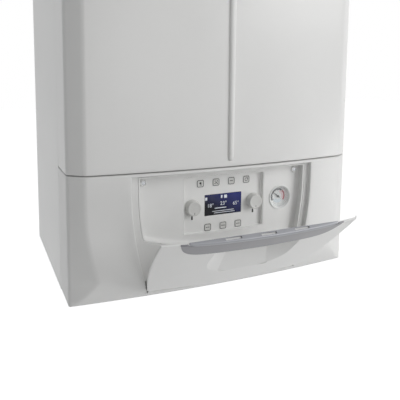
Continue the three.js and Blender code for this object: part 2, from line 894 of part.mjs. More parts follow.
function displayWindow() {
  return block(
    [panelMid - displayWide / 2, panelMid + displayWide / 2],
    [insertFace - fit, insertFace + insertThick],
    [displayZ - displayHigh / 2, displayZ + displayHigh / 2],
  );
}

function displayModule() {
  const near = insertFace + insertThick + fit;
  const rim = insertThick + fit;
  return block(
    [panelMid - displayWide / 2 - rim, panelMid + displayWide / 2 + rim],
    [near, boardY + fit],
    [displayZ - displayHigh / 2 - rim, displayZ + displayHigh / 2 + rim],
  );
}

// Pressure gauge
function gaugeBody() {
  const dialY = trayFace + dialDeep;
  const rear = dialY + gaugeBodyDeep;
  const lipY = trayFace - gaugeLip;
  const profile = [
    [0, dialY],
    [dialR, dialY],
    [gaugeR - gaugeLip, trayFace],
    [gaugeR - gaugeLip / 2, lipY],
    [gaugeR + gaugeLip, lipY],
    [gaugeR + 1.5 * gaugeLip, trayFace - fit],
    [gaugeR, trayFace - fit],
    [gaugeR, rear],
    [capillaryR, rear],
    [capillaryR, rear + gaugeBodyDeep],
    [0, rear + gaugeBodyDeep],
  ];
  return turnedY([gaugeX, gaugeZ], profile);
}

// Needle, drawn upright about its own centre
function gaugeNeedle() {
  const near = -lensThick / 2;
  const hubR = needleLong / 6;
  const hand = outlineOf([
    [-hubR / 2, 0],
    [-hubR / 3, -needleLong / 3],
    [hubR / 3, -needleLong / 3],
    [hubR / 2, 0],
    [hubR / 8, needleLong],
    [-hubR / 8, needleLong],
  ]);
  return join(prismY(hand, near, near + lensThick), drumY([0, 0], hubR, near - fit, near + lensThick + fit, smallSides));
}

function gaugeLens() {
  const near = trayFace + lensThick;
  const taper = (gaugeR - gaugeLip - dialR) / dialDeep;
  const radius = gaugeR - gaugeLip - 2 * lensThick * taper - fit;
  return drumY([gaugeX, gaugeZ], radius, near, near + lensThick);
}

// Board with its switches, encoders and relays
function controlBoard() {
  const edge = insertHalf + boxLip - 2 * fit - sheet;
  const far = boardY + boardThick;
  const low = insertLow - boxLip / 2;
  const high = insertHigh + boxLip / 2;
  const plate = block([panelMid - edge, panelMid + edge], [boardY, far], [low, high]);
  const switchTop = insertFace - keyProud + 2 * keyDeep + keyTravel + fit;
  const switches = keyPlaces.map(([x, z]) =>
    block([x - keySoft, x + keySoft], [switchTop, far], [z - keySoft, z + keySoft]),
  );
  const encoders = knobPlaces.map(([x, z]) =>
    block([x - keySide / 2, x + keySide / 2], [boardY - keyDeep + fit, far], [z - keySide / 2, z + keySide / 2]),
  );
  const third = edge / 3;
  const rear = [-2, -1, 0, 1].map((i) => {
    const x = panelMid + (i + 0.5) * third;
    const deep = boxDeep * (i % 2 ? 0.34 : 0.42);
    return block([x - third / 3, x + third / 3], [boardY, far + deep], [low + keySide, low + 3 * keySide]);
  });
  const plugs = block([panelMid - edge / 2, panelMid + edge / 2], [boardY, far + keySide], [high - 2 * keySide, high - keySide]);
  return join(plate, displayModule(), ...switches, ...encoders, ...rear, plugs);
}

// Rear housing of the electronics, open to the front, with posts for the board
function boardHousing() {
  const near = trayFace + trayThick + fit;
  const far = near + boxDeep;
  const edge = insertHalf + boxLip + fit;
  const low = insertLow - boxLip - fit;
  const high = insertHigh + boxLip + fit;
  const shell = cut(
    block([panelMid - edge - sheet, panelMid + edge + sheet], [near, far], [low - sheet, high + sheet]),
    block([panelMid - edge, panelMid + edge], [0, far - sheet], [low, high]),
  );
  const reach = insertHalf - boxLip;
  const posts = [-1, 1].flatMap((side) =>
    [low + boxLip, high - boxLip].map((z) =>
      drumY([panelMid + side * reach, z], boxLip / 2, boardY + boardThick + fit, far - sheet / 2, smallSides),
    ),
  );
  return join(shell, ...posts);
}

// Screw with a round head, a slot and a plain shank, along Y
function screw([x, z], headY, tipY) {
  const headDeep = screwHeadR / 2;
  const slot = block([x - screwHeadR, x + screwHeadR], [headY - overrun, headY + headDeep / 3], [z - fit, z + fit]);
  const body = join(
    drumY([x, z], screwHeadR, headY, headY + headDeep, smallSides),
    drumY([x, z], screwR, headY + headDeep / 2, tipY, smallSides),
  );
  return cut(body, slot);
}

// Side panel: one folded sheet with a joggled front edge under the cover and a lip behind
function sidePanel(side) {
  const front = seamY + panelGap;
  const profile = [
    [half, front],
    [half, backY],
    [half - foldLip, backY],
    [half - foldLip, backY - sheet],
    [half - sheet, backY - sheet],
    [half - sheet, front + sheet],
    [joggleX - sheet, front + sheet],
    [joggleX - sheet, front - joggleLap],
    [joggleX, front - joggleLap],
    [joggleX, front],
  ].map(([x, y]) => [side * x, y]);
  const low = [[half - foldLip, half], [front + sheet, backY], [0, sheet]];
  if (side < 0) low[0] = [-half, foldLip - half];
  return join(prismZ(outlineOf(profile), 0, height - sheet - fit), block(...low));
}

// Top plate with its turned-down edge and the opening for the flue
function topCover() {
  const near = seamY + panelGap;
  const plate = block([-half, half], [near, backY], [height - sheet, height]);
  const rimOuter = block([-innerX, innerX], [near + joggleLap, backY - 2 * foldLip], [height - foldLip, height]);
  const rimInner = block(
    [-innerX + sheet, innerX - sheet],
    [near + joggleLap + sheet, backY - 2 * foldLip - sheet],
    [0, height - sheet],
  );
  return cut(join(plate, cut(rimOuter, rimInner)), drumZ([coreX, flueY], airR + flueWall + fit, 0, 2 * height));
}


// Back frame: a folded sheet with slots for the wall hooks and two pressed stiffeners
function backFrame() {
  const x = half - sheet - fit;
  const top = height - sheet - fit;
  const tray = cut(
    block([-x, x], [frameY - frameFlange, frameY + sheet], [frameLow, top]),
    block([-x + sheet, x - sheet], [0, frameY], [frameLow + sheet, top - sheet]),
  );
  const hookLow = bracketZ - hookThick - fit;
  const slots = [-1, 1].map((side) =>
    block(
      [side * hookX - hookWide / 2 - fit, side * hookX + hookWide / 2 + fit],
      [0, 2 * backY],
      [hookLow - hookRise - fit, bracketZ + fit],
    ),
  );
  const spacers = [-1, 1].map((side) =>
    drumY([side * spacerX, spacerZ], spacerR, frameY, backY + wallGap, smallSides),
  );
  return join(cut(tray, ...slots), vesselShelf(), heatExchangerFoot(), ...spacers);
}

// Wall bracket with two hooks that reach through the back frame
function wallBracket() {
  const wall = backY + wallGap;
  const near = wall - hookThick;
  const lipNear = frameY - fit - hookThick;
  const plate = cut(
    block([-bracketHalf, bracketHalf], [near, wall], [bracketZ - bracketHigh / 2, bracketZ + bracketHigh / 2]),
    ...[-1, 1].map((side) => drumY([side * (bracketHalf - foldLip), bracketZ], hookThick, 0, 2 * wall, smallSides)),
  );
  const hooks = [-1, 1].flatMap((side) => {
    const across = [side * hookX - hookWide / 2, side * hookX + hookWide / 2];
    return [
      block(across, [lipNear, wall - hookThick / 2], [bracketZ - hookThick, bracketZ]),
      block(across, [lipNear, lipNear + hookThick], [bracketZ - hookThick, bracketZ + hookRise]),
    ];
  });
  return join(plate, ...hooks);
}

const portX = (i) => i * portPitch;

// Bottom plate with turned-up edges and holes for the pipes
function bottomPlate() {
  const near = seamY - joggleLap;
  const rise = foldLip;
  const far = frameY - frameFlange - fit;
  const tray = cut(
    block([-innerX, innerX], [near, far], [plateZ, plateZ + rise]),
    block([-innerX + sheet, innerX - sheet], [near + sheet, far - sheet], [plateZ + sheet, 2 * plateZ + rise]),
  );
  const plate = join(tray, block([-innerX, innerX], [far - sheet, frameY - fit], [plateZ, plateZ + sheet]));
  const ports = [-2, -1, 0, 1, 2].map((i) => drumZ([portX(i), portY], pipeR + fit, -height, height, portSides));
  return cut(
    plate,
    ...ports,
    drumZ([siphonX, portY], pipeR + fit, -height, height, portSides),
    drumZ([fillX, fillY], shaftR + 2 * fit, -height, height, smallSides),
  );
}

// Crossbar behind the seam, with tabs for the tray's screws
function frontCrossbar() {
  const bar = join(
    block([-innerX, innerX], [tabY, barY], [barZ, barZ + sheet]),
    block([-innerX, innerX], [barY - sheet, barY], [barZ, barZ + barHigh]),
  );
  const tabs = [-1, 1].map((side) => {
    const x = panelMid / 3 + side * screwHalf;
    const z = screwZ - tabDrop;
    const tab = block([x - tabWide / 2, x + tabWide / 2], [tabY, tabY + sheet], [z, barZ + sheet]);
    return cut(tab, drumY([x, screwZ], screwR + fit, 0, barY, smallSides));
  });
  return join(bar, ...tabs);
}

// Storage tank: a drawn stainless shell with domed ends and an open outlet at the top

function domedProfile(radius, low, high, dome, port) {
  const steps = domeSteps;
  const points = [];
  for (let i = steps; i >= 0; i--) {
    const turn = (Math.PI / 2) * (i / steps);
    const r = radius * Math.cos(turn);
    points.push([Math.max(i === steps ? port : 0, r), high - dome + dome * Math.sin(turn)]);
  }
  for (let i = 0; i <= steps; i++) {
    const turn = (Math.PI / 2) * (i / steps);
    points.push([i === steps ? 0 : radius * Math.cos(turn), low + dome - dome * Math.sin(turn)]);
  }
  return points;
}

function storageTank() {
  const outer = domedProfile(tankR, tankLow, tankTop, tankDome, pipeR);
  const inner = domedProfile(tankR - tankWall, tankLow + tankWall, tankTop - tankWall, tankDome, pipeR);
  const room = turnedZ([tankX, tankY], domedProfile(tankR - tankWall, tankLow + tankWall, tankTop - tankWall, tankDome, 0));
  const bosses = [[coilPort, pumpZ], [-coilPort, pumpZ + coilHigh]].map(([x, z]) =>
    cut(drumY([tankX + x, z], bossR, coilRun + bossStep, coilRun + 2 * bossStep, smallSides), room),
  );
  return join(turnedZ([tankX, tankY], [...outer, ...inner.reverse(), outer[0]]), ...bosses);
}

function tankCradle() {
  const base = frameLow;
  const rise = tankDome * (1 - Math.sqrt(1 - ((cradleR - cradleWide / 2) / tankR) ** 2));
  const top = tankLow + rise - fit;
  const ring = turnedZ([tankX, tankY], [
    [cradleR - cradleWide / 2, top],
    [cradleR + cradleWide / 2, top],
    [cradleR + cradleWide / 2, top - cradleWide],
    [cradleR - cradleWide / 2, top - cradleWide],
    [cradleR - cradleWide / 2, top],
  ]);
  const legs = [0, 1, 2, 3].map((i) => {
    const turn = (Math.PI / 2) * (i + cradleTurn);
    const place = [tankX + cradleR * Math.cos(turn), tankY + cradleR * Math.sin(turn)];
    return drumZ(place, cradleWide / 2, base, top - fit, smallSides);
  });
  return join(ring, ...legs);
}

// Expansion vessel: a pressed disc with a rolled rim, and its shelf

function expansionVessel() {
  const mid = vesselLow + vesselHigh / 2;
  const body = domedProfile(vesselR, vesselLow, vesselLow + vesselHigh, vesselHigh / 3, 0);
  const rim = drumZ([tankX, tankY], vesselR + vesselRim, mid - vesselRim / 2, mid + vesselRim / 2);
  return join(turnedZ([tankX, tankY], body), rim);
}

function vesselShelf() {
  const low = vesselLow - fit - sheet;
  return join(
    block([tankX - vesselR / 2, tankX + vesselR / 2], [tankY - vesselR / 3, frameY + fit], [low, low + sheet]),
    block([tankX - vesselR / 2, tankX + vesselR / 2], [frameY - sheet, frameY + fit], [low, low + vesselHigh / 4]),
  );
}

// Heat exchanger: a ribbed drum lying along Y

function heatExchanger() {
  const flange = burnerRim;
  const ribs = 3;
  const points = [[0, coreFront], [coreR + flange, coreFront], [coreR + flange, coreFront + flange]];
  for (let i = 0; i < ribs; i++) {
    const from = coreFront + flange + ((coreLong - 2 * flange) * (i + 0.25)) / ribs;
    const to = coreFront + flange + ((coreLong - 2 * flange) * (i + 0.75)) / ribs;
    points.push([coreR - flange, from], [coreR, from + flange / 2], [coreR, to - flange / 2], [coreR - flange, to]);
  }
  points.push([coreR - flange, coreBack - flange], [coreR - 2 * flange, coreBack], [0, coreBack]);
  const spigot = drumZ([coreX, flueY], flueR + burnerRim, coreZ, coreZ + coreR + spigotRise);
  return join(turnedY([coreX, coreZ], points), spigot);
}

function heatExchangerFoot() {
  const halfWide = coreR / 2;
  const sagitta = coreR - Math.sqrt(coreR ** 2 - halfWide ** 2);
  const top = coreZ - coreR + sagitta;
  const low = coreZ - coreR - foldLip;
  const shelf = block([coreX - halfWide, coreX + halfWide], [coreBack - fit - 2 * foldLip, frameY + fit], [low, top]);
  return cut(shelf, drumY([coreX, coreZ], coreR + fit, 0, 2 * backY));
}

// Burner door with the duct that leads the mixture in
function burnerDoor() {
  const far = coreFront - fit;
  const near = far - burnerThick;
  const disc = drumY([coreX, coreZ], coreR + burnerRim, near, far);
  const ductLow = fanZ + fanR + 2 * fit;
  const duct = block([coreX - ductWide / 2, coreX + ductWide / 2], [near - ductDeep, near + fit], [ductLow, coreZ + ductDeep]);
  const bolts = [1, 3, 5, 7].map((i) => {
    const turn = (Math.PI * i) / 4;
    const place = [coreX + (coreR - burnerRim) * Math.cos(turn), coreZ + (coreR - burnerRim) * Math.sin(turn)];
    return drumY(place, burnerRim, near - burnerRim, near + fit, smallSides);
  });
  return join(disc, duct, ...bolts);
}

// Fan: scroll housing open at its inlet, with the wheel and the motor
function fanHousing() {
  const far = fanNear + fanDeep;
  const scroll = join(
    drumY([coreX, fanZ], fanR, fanNear, far),
    block([coreX - ductWide / 2, coreX + ductWide / 2], [fanNear, fanNear + ductDeep], [fanZ, fanZ + fanR + fit]),
  );
  const room = drumY([coreX, fanZ], fanR - fanWall, fanNear + fanWall, far - fanWall);
  const inlet = drumY([coreX, fanZ], inletR, fanNear + fanDeep / 2, far + overrun);
  const shaft = drumY([coreX, fanZ], shaftR + fit, fanNear - overrun, far, smallSides);
  return cut(scroll, room, inlet, shaft);
}

function fanWheel() {
  const near = fanNear + fanDeep / 2 - wheelDeep / 2;
  const far = near + wheelDeep;
  const plate = drumY([coreX, fanZ], wheelR, near, near + bladeThick);
  const hub = drumY([coreX, fanZ], 3 * shaftR, near, near + wheelDeep / 2, smallSides);
  const shaft = drumY([coreX, fanZ], shaftR, fanNear - fit - bladeThick, near + fit, smallSides);
  const vanes = Array.from({ length: blades }, (_, i) => {
    const vane = new THREE.BoxGeometry(wheelR * 0.4, wheelDeep - fit, bladeThick);
    vane.rotateY(-0.5).translate(wheelR * 0.78, (near + far + fit) / 2, 0);
    return solid(vane.rotateY((2 * Math.PI * i) / blades).translate(coreX, 0, fanZ));
  });
  return join(plate, hub, shaft, ...vanes).intersect(drumY([coreX, fanZ], wheelR, 0, backY));
}

function fanMotor() {
  const far = fanNear - fit;
  const near = far - motorDeep;
  const body = join(
    drumY([coreX, fanZ], motorR, near + motorDeep / 3, far),
    drumY([coreX, fanZ], motorR - burnerRim, near, near + motorDeep / 2),
  );
  return cut(body, drumY([coreX, fanZ], shaftR + fit, far - motorDeep / 3, far + fit, smallSides));
}

// Gas valve with its coil and regulator cap
function gasValve() {
  const body = block(
    [valveX - valveWide / 2, valveX + valveWide / 2],
    [valveY - valveDeep / 2, valveY + valveDeep / 2],
    [valveZ, valveZ + valveHigh],
  );
  const coil = drumY([valveX, valveZ + 0.64 * valveHigh], valveWide / 3, valveY - valveDeep, valveY, bodySides);
  const cap = drumY([valveX, valveZ + valveHigh / 4], valveWide / 6, valveY - 0.7 * valveDeep, valveY, smallSides);
  return join(body, coil, cap);
}

function circulationPump() {
  const near = pumpY - pumpDeep / 2;
  const volute = drumY([pumpX, pumpZ], pumpR, near, near + pumpDeep);
  const ends = drumZ([pumpX, pumpY], 1.6 * pipeR, pumpZ - pumpR - pipeR / 2, pumpZ + pumpR + pipeR / 2, smallSides);
  const motor = drumY([pumpX, pumpZ], pumpMotorR, near - pumpMotorDeep, near + fit);
  const cap = drumY([pumpX, pumpZ], pumpMotorR / 3, near - pumpMotorDeep - fit * 10, near, smallSides);
  return join(volute, ends, motor, cap);
}

function diverterValve() {
  const r = diverterSide / 2;
  const body = block([diverterX - r, diverterX + r], [pumpY - r, pumpY + r], [pumpZ - r, pumpZ + r]);
  const actuator = drumY([diverterX, pumpZ], actuatorR, pumpY, pumpY + r + actuatorHigh / 2);
  return join(body, actuator);
}

function condensateTrap() {
  const neck = siphonR / 3;
  const hose = drumZ([siphonX, portY], pipeR - 1, siphonHigh - neck / 2, coreUnder(siphonX), smallSides);
  const drain = drumZ([siphonX, portY], pipeR, tail, siphonLow + neck / 2, smallSides);
  return join(hose, drain, turnedZ([siphonX, portY], [
    [0, siphonLow],
    [neck, siphonLow],
    [siphonR, siphonLow + neck],
    [siphonR, siphonHigh - 2 * neck],
    [siphonR + fit * 8, siphonHigh - 2 * neck],
    [siphonR + fit * 8, siphonHigh - neck],
    [neck, siphonHigh - neck],
    [neck, siphonHigh],
    [0, siphonHigh],
  ], bodySides));
}

// Filling valve on the bottom plate and its fluted knob below
function fillValve() {
  const low = plateZ + sheet + fit;
  return cut(
    drumZ([fillX, fillY], fillR - 4 * fit, low, low + 2 * fillHigh, smallSides),
    drumZ([fillX, fillY], shaftR + fit, 0, low + fillHigh, smallSides),
  );
}

function fillKnob() {
  const top = plateZ - 2 * fit;
  const grip = drumZ([fillX, fillY], fillR, top - fillHigh, top);
  const flutes = Array.from({ length: 8 }, (_, i) => {
    const turn = (Math.PI * i) / 4;
    const place = [fillX + fillR * Math.cos(turn), fillY + fillR * Math.sin(turn)];
    return drumZ(place, fillR / 5, top - 2 * fillHigh, top - fillHigh / 5, 8);
  });
  const stem = drumZ([fillX, fillY], shaftR, top - fit, plateZ + sheet + fit + fillHigh - fit, smallSides);
  return join(cut(grip, ...flutes), stem);
}

// Pipes
const tail = -tailDrop;
const coreUnder = (x) => {
  const offset = Math.max(0, Math.abs(x - coreX) - pipeR);
  return coreZ - Math.sqrt(coreR ** 2 - offset ** 2) - fit;
};
const pumpTop = pumpZ + pumpR + pipeR / 2 + fit;
const pumpLow = pumpZ - pumpR - pipeR / 2 - fit;
const hotX = tankX + tankR + 2 * pipeR;

const routes = {
  heating_flow_pipe: [
    [diverterX, pumpY, pumpZ - diverterSide / 2 - fit],
    [diverterX, pumpY, flowRun],
    [diverterX, portY, flowRun],
    [portX(-2), portY, flowRun],
    [portX(-2), portY, tail],
  ],
  hot_water_pipe: [
    [tankX, tankY, tankTop + fit],
    [tankX, tankY, tankTop + vesselGap / 2 + 2],
    [hotX, tankY, tankTop + vesselGap / 2 + 2],
    [hotX, tankY, hotRun],
    [hotX, portY, hotRun],
    [portX(-1), portY, hotRun],
    [portX(-1), portY, tail],
  ],
  gas_pipe: [
    [portX(0), portY, tail],
    [portX(0), portY, gasRun],
    [portX(0), valveY, gasRun],
    [valveX, valveY, gasRun],
    [valveX, valveY, valveZ - fit],
  ],
  cold_water_pipe: [
    [portX(1), portY, tail],
    [portX(1), portY, coldRun],
    [portX(1), tankY, coldRun],
    [tankX, tankY, coldRun],
    [tankX, tankY, tankLow - fit],
  ],
  heating_return_pipe: [
    [portX(2), portY, tail],
    [portX(2), portY, coldRun],
    [pumpX, pumpY, coldRun],
    [pumpX, pumpY, pumpLow],
  ],
  exchanger_return_pipe: [
    [pumpX, pumpY, pumpTop],
    [pumpX, pumpY, coreUnder(pumpX)],
  ],
  exchanger_flow_pipe: [
    [diverterX, pumpY, pumpZ + diverterSide / 2 + fit],
    [diverterX, pumpY, coreUnder(diverterX)],
  ],
  coil_feed_pipe: [
    [diverterX, pumpY - diverterSide / 2 - fit, pumpZ],
    [diverterX, coilRun, pumpZ],
    [tankX + coilPort, coilRun, pumpZ],
    [tankX + coilPort, coilRun + bossStep - fit, pumpZ],
  ],
  coil_return_pipe: [
    [tankX - coilPort, coilRun + bossStep - fit, pumpZ + coilHigh],
    [tankX - coilPort, coilRun, pumpZ + coilHigh],
    [coilDropX, coilRun, pumpZ + coilHigh],
    [coilDropX, pumpY, pumpZ + coilHigh],
    [coilDropX, pumpY, pumpZ],
    [pumpX - pumpR - fit, pumpY, pumpZ],
  ],
};

const coilReach = (name) => (name === "coil_return_pipe" ? 0.9 * bend : bend);

// Inlet mixer behind the fan
function gasMixer() {
  const near = fanNear + fanDeep + fit;
  const far = near + mixerLong;
  const body = turnedY([coreX, fanZ], [
    [inletR, near],
    [mixerR, near],
    [mixerR, far - mixerLong / 3],
    [inletR, far],
    [inletR - fanWall, far],
    [inletR - 2 * fanWall, near + mixerLong / 2],
    [inletR - fanWall, near],
    [inletR, near],
  ]);
  const feed = pipe([
    [valveX, valveY, valveZ + valveHigh + fit],
    [valveX, valveY, fanZ],
    [valveX, mixerY, fanZ],
    [coreX + inletR, mixerY, fanZ],
  ]);
  return join(body, feed);
}

// Flue: inner exhaust tube from the exchanger and the collar with the air tube round it
function fluePipe() {
  const low = coreZ + coreR + spigotRise + fit;
  const high = height + collarRise;
  return turnedZ([coreX, flueY], [
    [flueR - flueWall, low],
    [flueR, low],
    [flueR, high],
    [flueR - flueWall, high],
    [flueR - flueWall, low],
  ]);
}

function flueCollar() {
  const low = height - collarFlange;
  const high = height + collarRise;
  const seat = height + fit;
  return turnedZ([coreX, flueY], [
    [airR, low],
    [airR + flueWall, low],
    [airR + flueWall, seat],
    [airR + collarFlange, seat],
    [airR + collarFlange, seat + collarThick],
    [airR + flueWall, seat + collarThick],
    [airR + flueWall, high],
    [airR, high],
    [airR, low],
  ]);
}

// Front of the tank's faceted inner wall at a distance across from its axis
function tankWallY(x) {
  const radius = tankR - tankWall;
  const step = (2 * Math.PI) / roundSides;
  const first = step * Math.floor(Math.asin(x / radius) / step);
  const [near, far] = [first, first + step].map((turn) => [Math.sin(turn) * radius, Math.cos(turn) * radius]);
  return tankY - near[1] - ((far[1] - near[1]) * (x - near[0])) / (far[0] - near[0]);
}

// Coil inside the tank: both ends leave towards the front
function tankCoil() {
  const wallY = tankWallY(coilPort + coilR) + fit;
  const start = -Math.acos(coilPort / coilTurn);
  const sweep = 4 * Math.PI + Math.PI - 2 * start;
  const points = [[tankX + coilPort, wallY, pumpZ]];
  for (let i = 0; i <= coilSteps; i++) {
    const turn = start + (sweep * i) / coilSteps;
    const x = tankX + coilTurn * Math.cos(turn);
    points.push([x, tankY + coilTurn * Math.sin(turn), pumpZ + (coilHigh * i) / coilSteps]);
  }
  points.push([tankX - coilPort, wallY, pumpZ + coilHigh]);
  return swept(points.map((point) => new THREE.Vector3(...point)), coilR, pipeSides - 2);
}

// Pins on which the door turns, held in the fascia
function hingePin(side) {
  const endX = recessAt(hingeZ);
  const inner = side * (endX - doorSide - earThick);
  const outer = side * (endX + liner + pinR);
  return drumX([hingeY, hingeZ], pinR, Math.min(inner, outer), Math.max(inner, outer), smallSides);
}

// Casing
const casing = new THREE.Group();
boiler.add(casing);
casing.position.set(0, -(backY + wallGap), -bracketZ);

add("wall_bracket", wallBracket(), zinc(), casing);
add("back_frame", backFrame(), zinc(), casing);
add("side_panel_left", sidePanel(-1), white(), casing);
add("side_panel_right", sidePanel(1), white(), casing);
add("top_cover", topCover(), white(), casing);
add("bottom_plate", bottomPlate(), zinc(), casing);
add("front_crossbar", frontCrossbar(), zinc(), casing);
add("front_cover", frontCover(), white(), casing);
add("lower_fascia", lowerFascia(), white(), casing);
add("hinge_pin_left", hingePin(-1), steel(), casing);
add("hinge_pin_right", hingePin(1), steel(), casing);

// Door, drawn shut and hung open on its pins
const leaf = new THREE.Group();
casing.add(leaf);
leaf.position.set(0, hingeY, hingeZ);
leaf.rotation.x = THREE.MathUtils.degToRad(openAngle);
const leafFrame = new THREE.Group();
leaf.add(leafFrame);
leafFrame.position.set(0, -hingeY, -hingeZ);
add("door_shell", doorShell(), white(), leafFrame);
add("door_handle", doorHandle(), silver(), leafFrame);

// Controls
const controls = new THREE.Group();
casing.add(controls);
add("control_tray", controlTray(), paleGrey(), controls);
add("control_insert", controlInsert(), paleGrey(), controls);
const screws = [-1, 1].map((side) => [panelMid / 3 + side * screwHalf, screwZ]);
add("tray_screw_left", screw(screws[0], trayFace - screwHeadR / 2 - fit, tabY + 2 * fillHigh / 5), steel(), controls);
add("tray_screw_right", screw(screws[1], trayFace - screwHeadR / 2 - fit, tabY + 2 * fillHigh / 5), steel(), controls);
const keyNames = ["upper_1", "upper_2", "upper_3", "upper_4", "lower_1", "lower_2", "lower_3"];
keyPlaces.forEach((place, i) => add(`key_${keyNames[i]}`, key(place), paleGrey(), controls));
add("knob_left", knob(knobPlaces[0]), paleGrey(), controls);
add("knob_right", knob(knobPlaces[1]), paleGrey(), controls);
add("display_window", displayWindow(), navy(), controls);
add("gauge_body", gaugeBody(), dial(), controls);
add("gauge_lens", gaugeLens(), clear(), controls);
const hand = new THREE.Group();
controls.add(hand);
hand.position.set(gaugeX, trayFace + dialDeep - 3 * fit - lensThick / 2, gaugeZ);
hand.rotation.y = -THREE.MathUtils.degToRad(needleTurn);
add("gauge_needle", gaugeNeedle(), black(), hand);
add("control_board", controlBoard(), green(), controls);
add("board_housing", boardHousing(), darkGrey(), controls);

// Water side
const water = new THREE.Group();
casing.add(water);
add("storage_tank", storageTank(), steel(), water);
add("tank_coil", tankCoil(), copper(), water);
add("tank_cradle", tankCradle(), zinc(), water);
add("expansion_vessel", expansionVessel(), red(), water);
add("circulation_pump", circulationPump(), black(), water);
add("diverter_valve", diverterValve(), brass(), water);
add("condensate_trap", condensateTrap(), darkGrey(), water);
add("fill_valve", fillValve(), brass(), water);
add("fill_knob", fillKnob(), black(), water);

// Gas, combustion and flue
const burner = new THREE.Group();
casing.add(burner);
add("heat_exchanger", heatExchanger(), steel(), burner);
add("burner_door", burnerDoor(), castAlloy(), burner);
add("fan_housing", fanHousing(), castAlloy(), burner);
add("fan_wheel", fanWheel(), darkGrey(), burner);
add("fan_motor", fanMotor(), black(), burner);
add("gas_mixer", gasMixer(), darkGrey(), burner);
add("gas_valve", gasValve(), castAlloy(), burner);
add("flue_pipe", fluePipe(), darkGrey(), burner);
add("flue_collar", flueCollar(), white(), burner);

// Pipes
const pipework = new THREE.Group();
casing.add(pipework);
for (const [name, points] of Object.entries(routes)) {
  add(name, pipe(points, pipeR, coilReach(name)), copper(), pipework);
}

export default boiler;
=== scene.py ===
"""Looks of the condensing boiler: camera, light and the fine pieces that stand for its visible solids."""
import json
import math

import bmesh
import bpy
from mathutils import Matrix, Vector
from mathutils.geometry import delaunay_2d_cdt


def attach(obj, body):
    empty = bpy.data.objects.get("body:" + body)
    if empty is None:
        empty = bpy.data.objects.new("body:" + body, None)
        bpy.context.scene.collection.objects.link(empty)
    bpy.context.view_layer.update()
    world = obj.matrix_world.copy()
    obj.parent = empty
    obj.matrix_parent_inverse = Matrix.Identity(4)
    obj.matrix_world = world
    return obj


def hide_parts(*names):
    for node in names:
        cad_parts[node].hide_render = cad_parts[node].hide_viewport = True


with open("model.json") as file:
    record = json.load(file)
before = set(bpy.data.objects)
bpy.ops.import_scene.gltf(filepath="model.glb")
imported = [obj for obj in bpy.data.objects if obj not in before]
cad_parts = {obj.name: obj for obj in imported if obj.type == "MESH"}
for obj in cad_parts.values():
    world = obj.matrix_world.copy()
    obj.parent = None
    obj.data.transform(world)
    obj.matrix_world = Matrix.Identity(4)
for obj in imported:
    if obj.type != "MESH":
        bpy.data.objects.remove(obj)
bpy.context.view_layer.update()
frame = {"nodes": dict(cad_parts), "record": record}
nodes = frame["nodes"]

# The casing's own frame, in millimetres: x = 0 in the middle, y = 0 at the front corners, z = 0 at the
# lower edge
BACK = 440.0  # from the front corners to the wall
RISE = 850.0  # from the lower edge to the origin of the shared frame
HALF = 300.0
TOP = 900.0
SEAM_Y = 101.3  # rear edge of the cover and the fascia
CHAMFER = 21.3  # depth of the corner between front and side
BREAK = 271.0  # half width of the bowed front
CORNER = 14.0  # outer part of it, which the soft corner takes
BOW = 17.5
KNEE = 47.0  # below it the front curves back to the foot
FOOT_BOW = 15.8
FOOT_IN = 8.0  # from the side to the front's edge at the foot
NARROW_FROM = 180.0  # below it the front gets narrower, by FLARE in all
FLARE = 21.0
COVER_LOW = 240.2  # lower edge of the cover
FASCIA = 238.2  # upper edge of the fascia

# Recess of the lower fascia, and the door in it
RECESS_TOP = 232.0
RECESS_LOW = 10.0
RECESS_HALF = 191.0
SHIELD_FROM = 205.0  # below it the recess gets narrower, by SHIELD in all
SHIELD = 31.0
LEDGE = 12.5  # width of the ledge beside the tray's window
LEDGE_LOW = 34.8
WINDOW_LOW = 82.0
WINDOW_SHIFT = 2.3  # of the window, to the right
ROUND = 2.2  # radius of the edges of recess and door
HINGE = (2.0, 22.0)  # y and z of its axis
OPEN = math.radians(46.5)
DOOR_LOW = 11.6
DOOR_TOP = 231.0

# Control panel: tray, insert and what they hold, as x and z
MID = 6.3  # middle of the insert
PANEL_Y = 16.0  # front face of the tray's floor
FLOOR_Y = 24.0  # front face of the insert's floor
INSERT_HALF = 88.6
INSERT_LOW = 101.2
INSERT_TOP = 217.4
DISPLAY = (MID - 40.4, MID + 40.4, 135.6, 177.4)
SHOWN_Y = FLOOR_Y - 0.32  # front face of what the display shows
GAUGE = (133.7, 159.1)
SCREWS = [(x, 215.7) for x in (2.1 - 164.5, 2.1 + 164.5)]
KEYS = [(MID + (i - 1.5) * 33.8 + 0.45, 201.7, f"key_upper_{i + 1}") for i in range(4)]
KEYS += [(MID + (i - 1) * 33.8, 112.4, f"key_lower_{i + 1}") for i in range(3)]
KNOBS = [(MID - 67.5, 156.5, "knob_left"), (MID + 67.5, 156.5, "knob_right")]


def at(p):
    """Point of the casing's frame in the shared frame, in metres."""
    return Vector((p[0], p[1] - BACK, p[2] - RISE)) / 1000.0


def on_door(p):
    """Point of the closed door, carried to where the door stands open."""
    y, z = p[1] - HINGE[0], p[2] - HINGE[1]
    c, s = math.cos(OPEN), math.sin(OPEN)
    return at((p[0], HINGE[0] + y * c - z * s, HINGE[1] + y * s + z * c))


# Camera
PICTURE = 400.0
SENSOR = 36.0


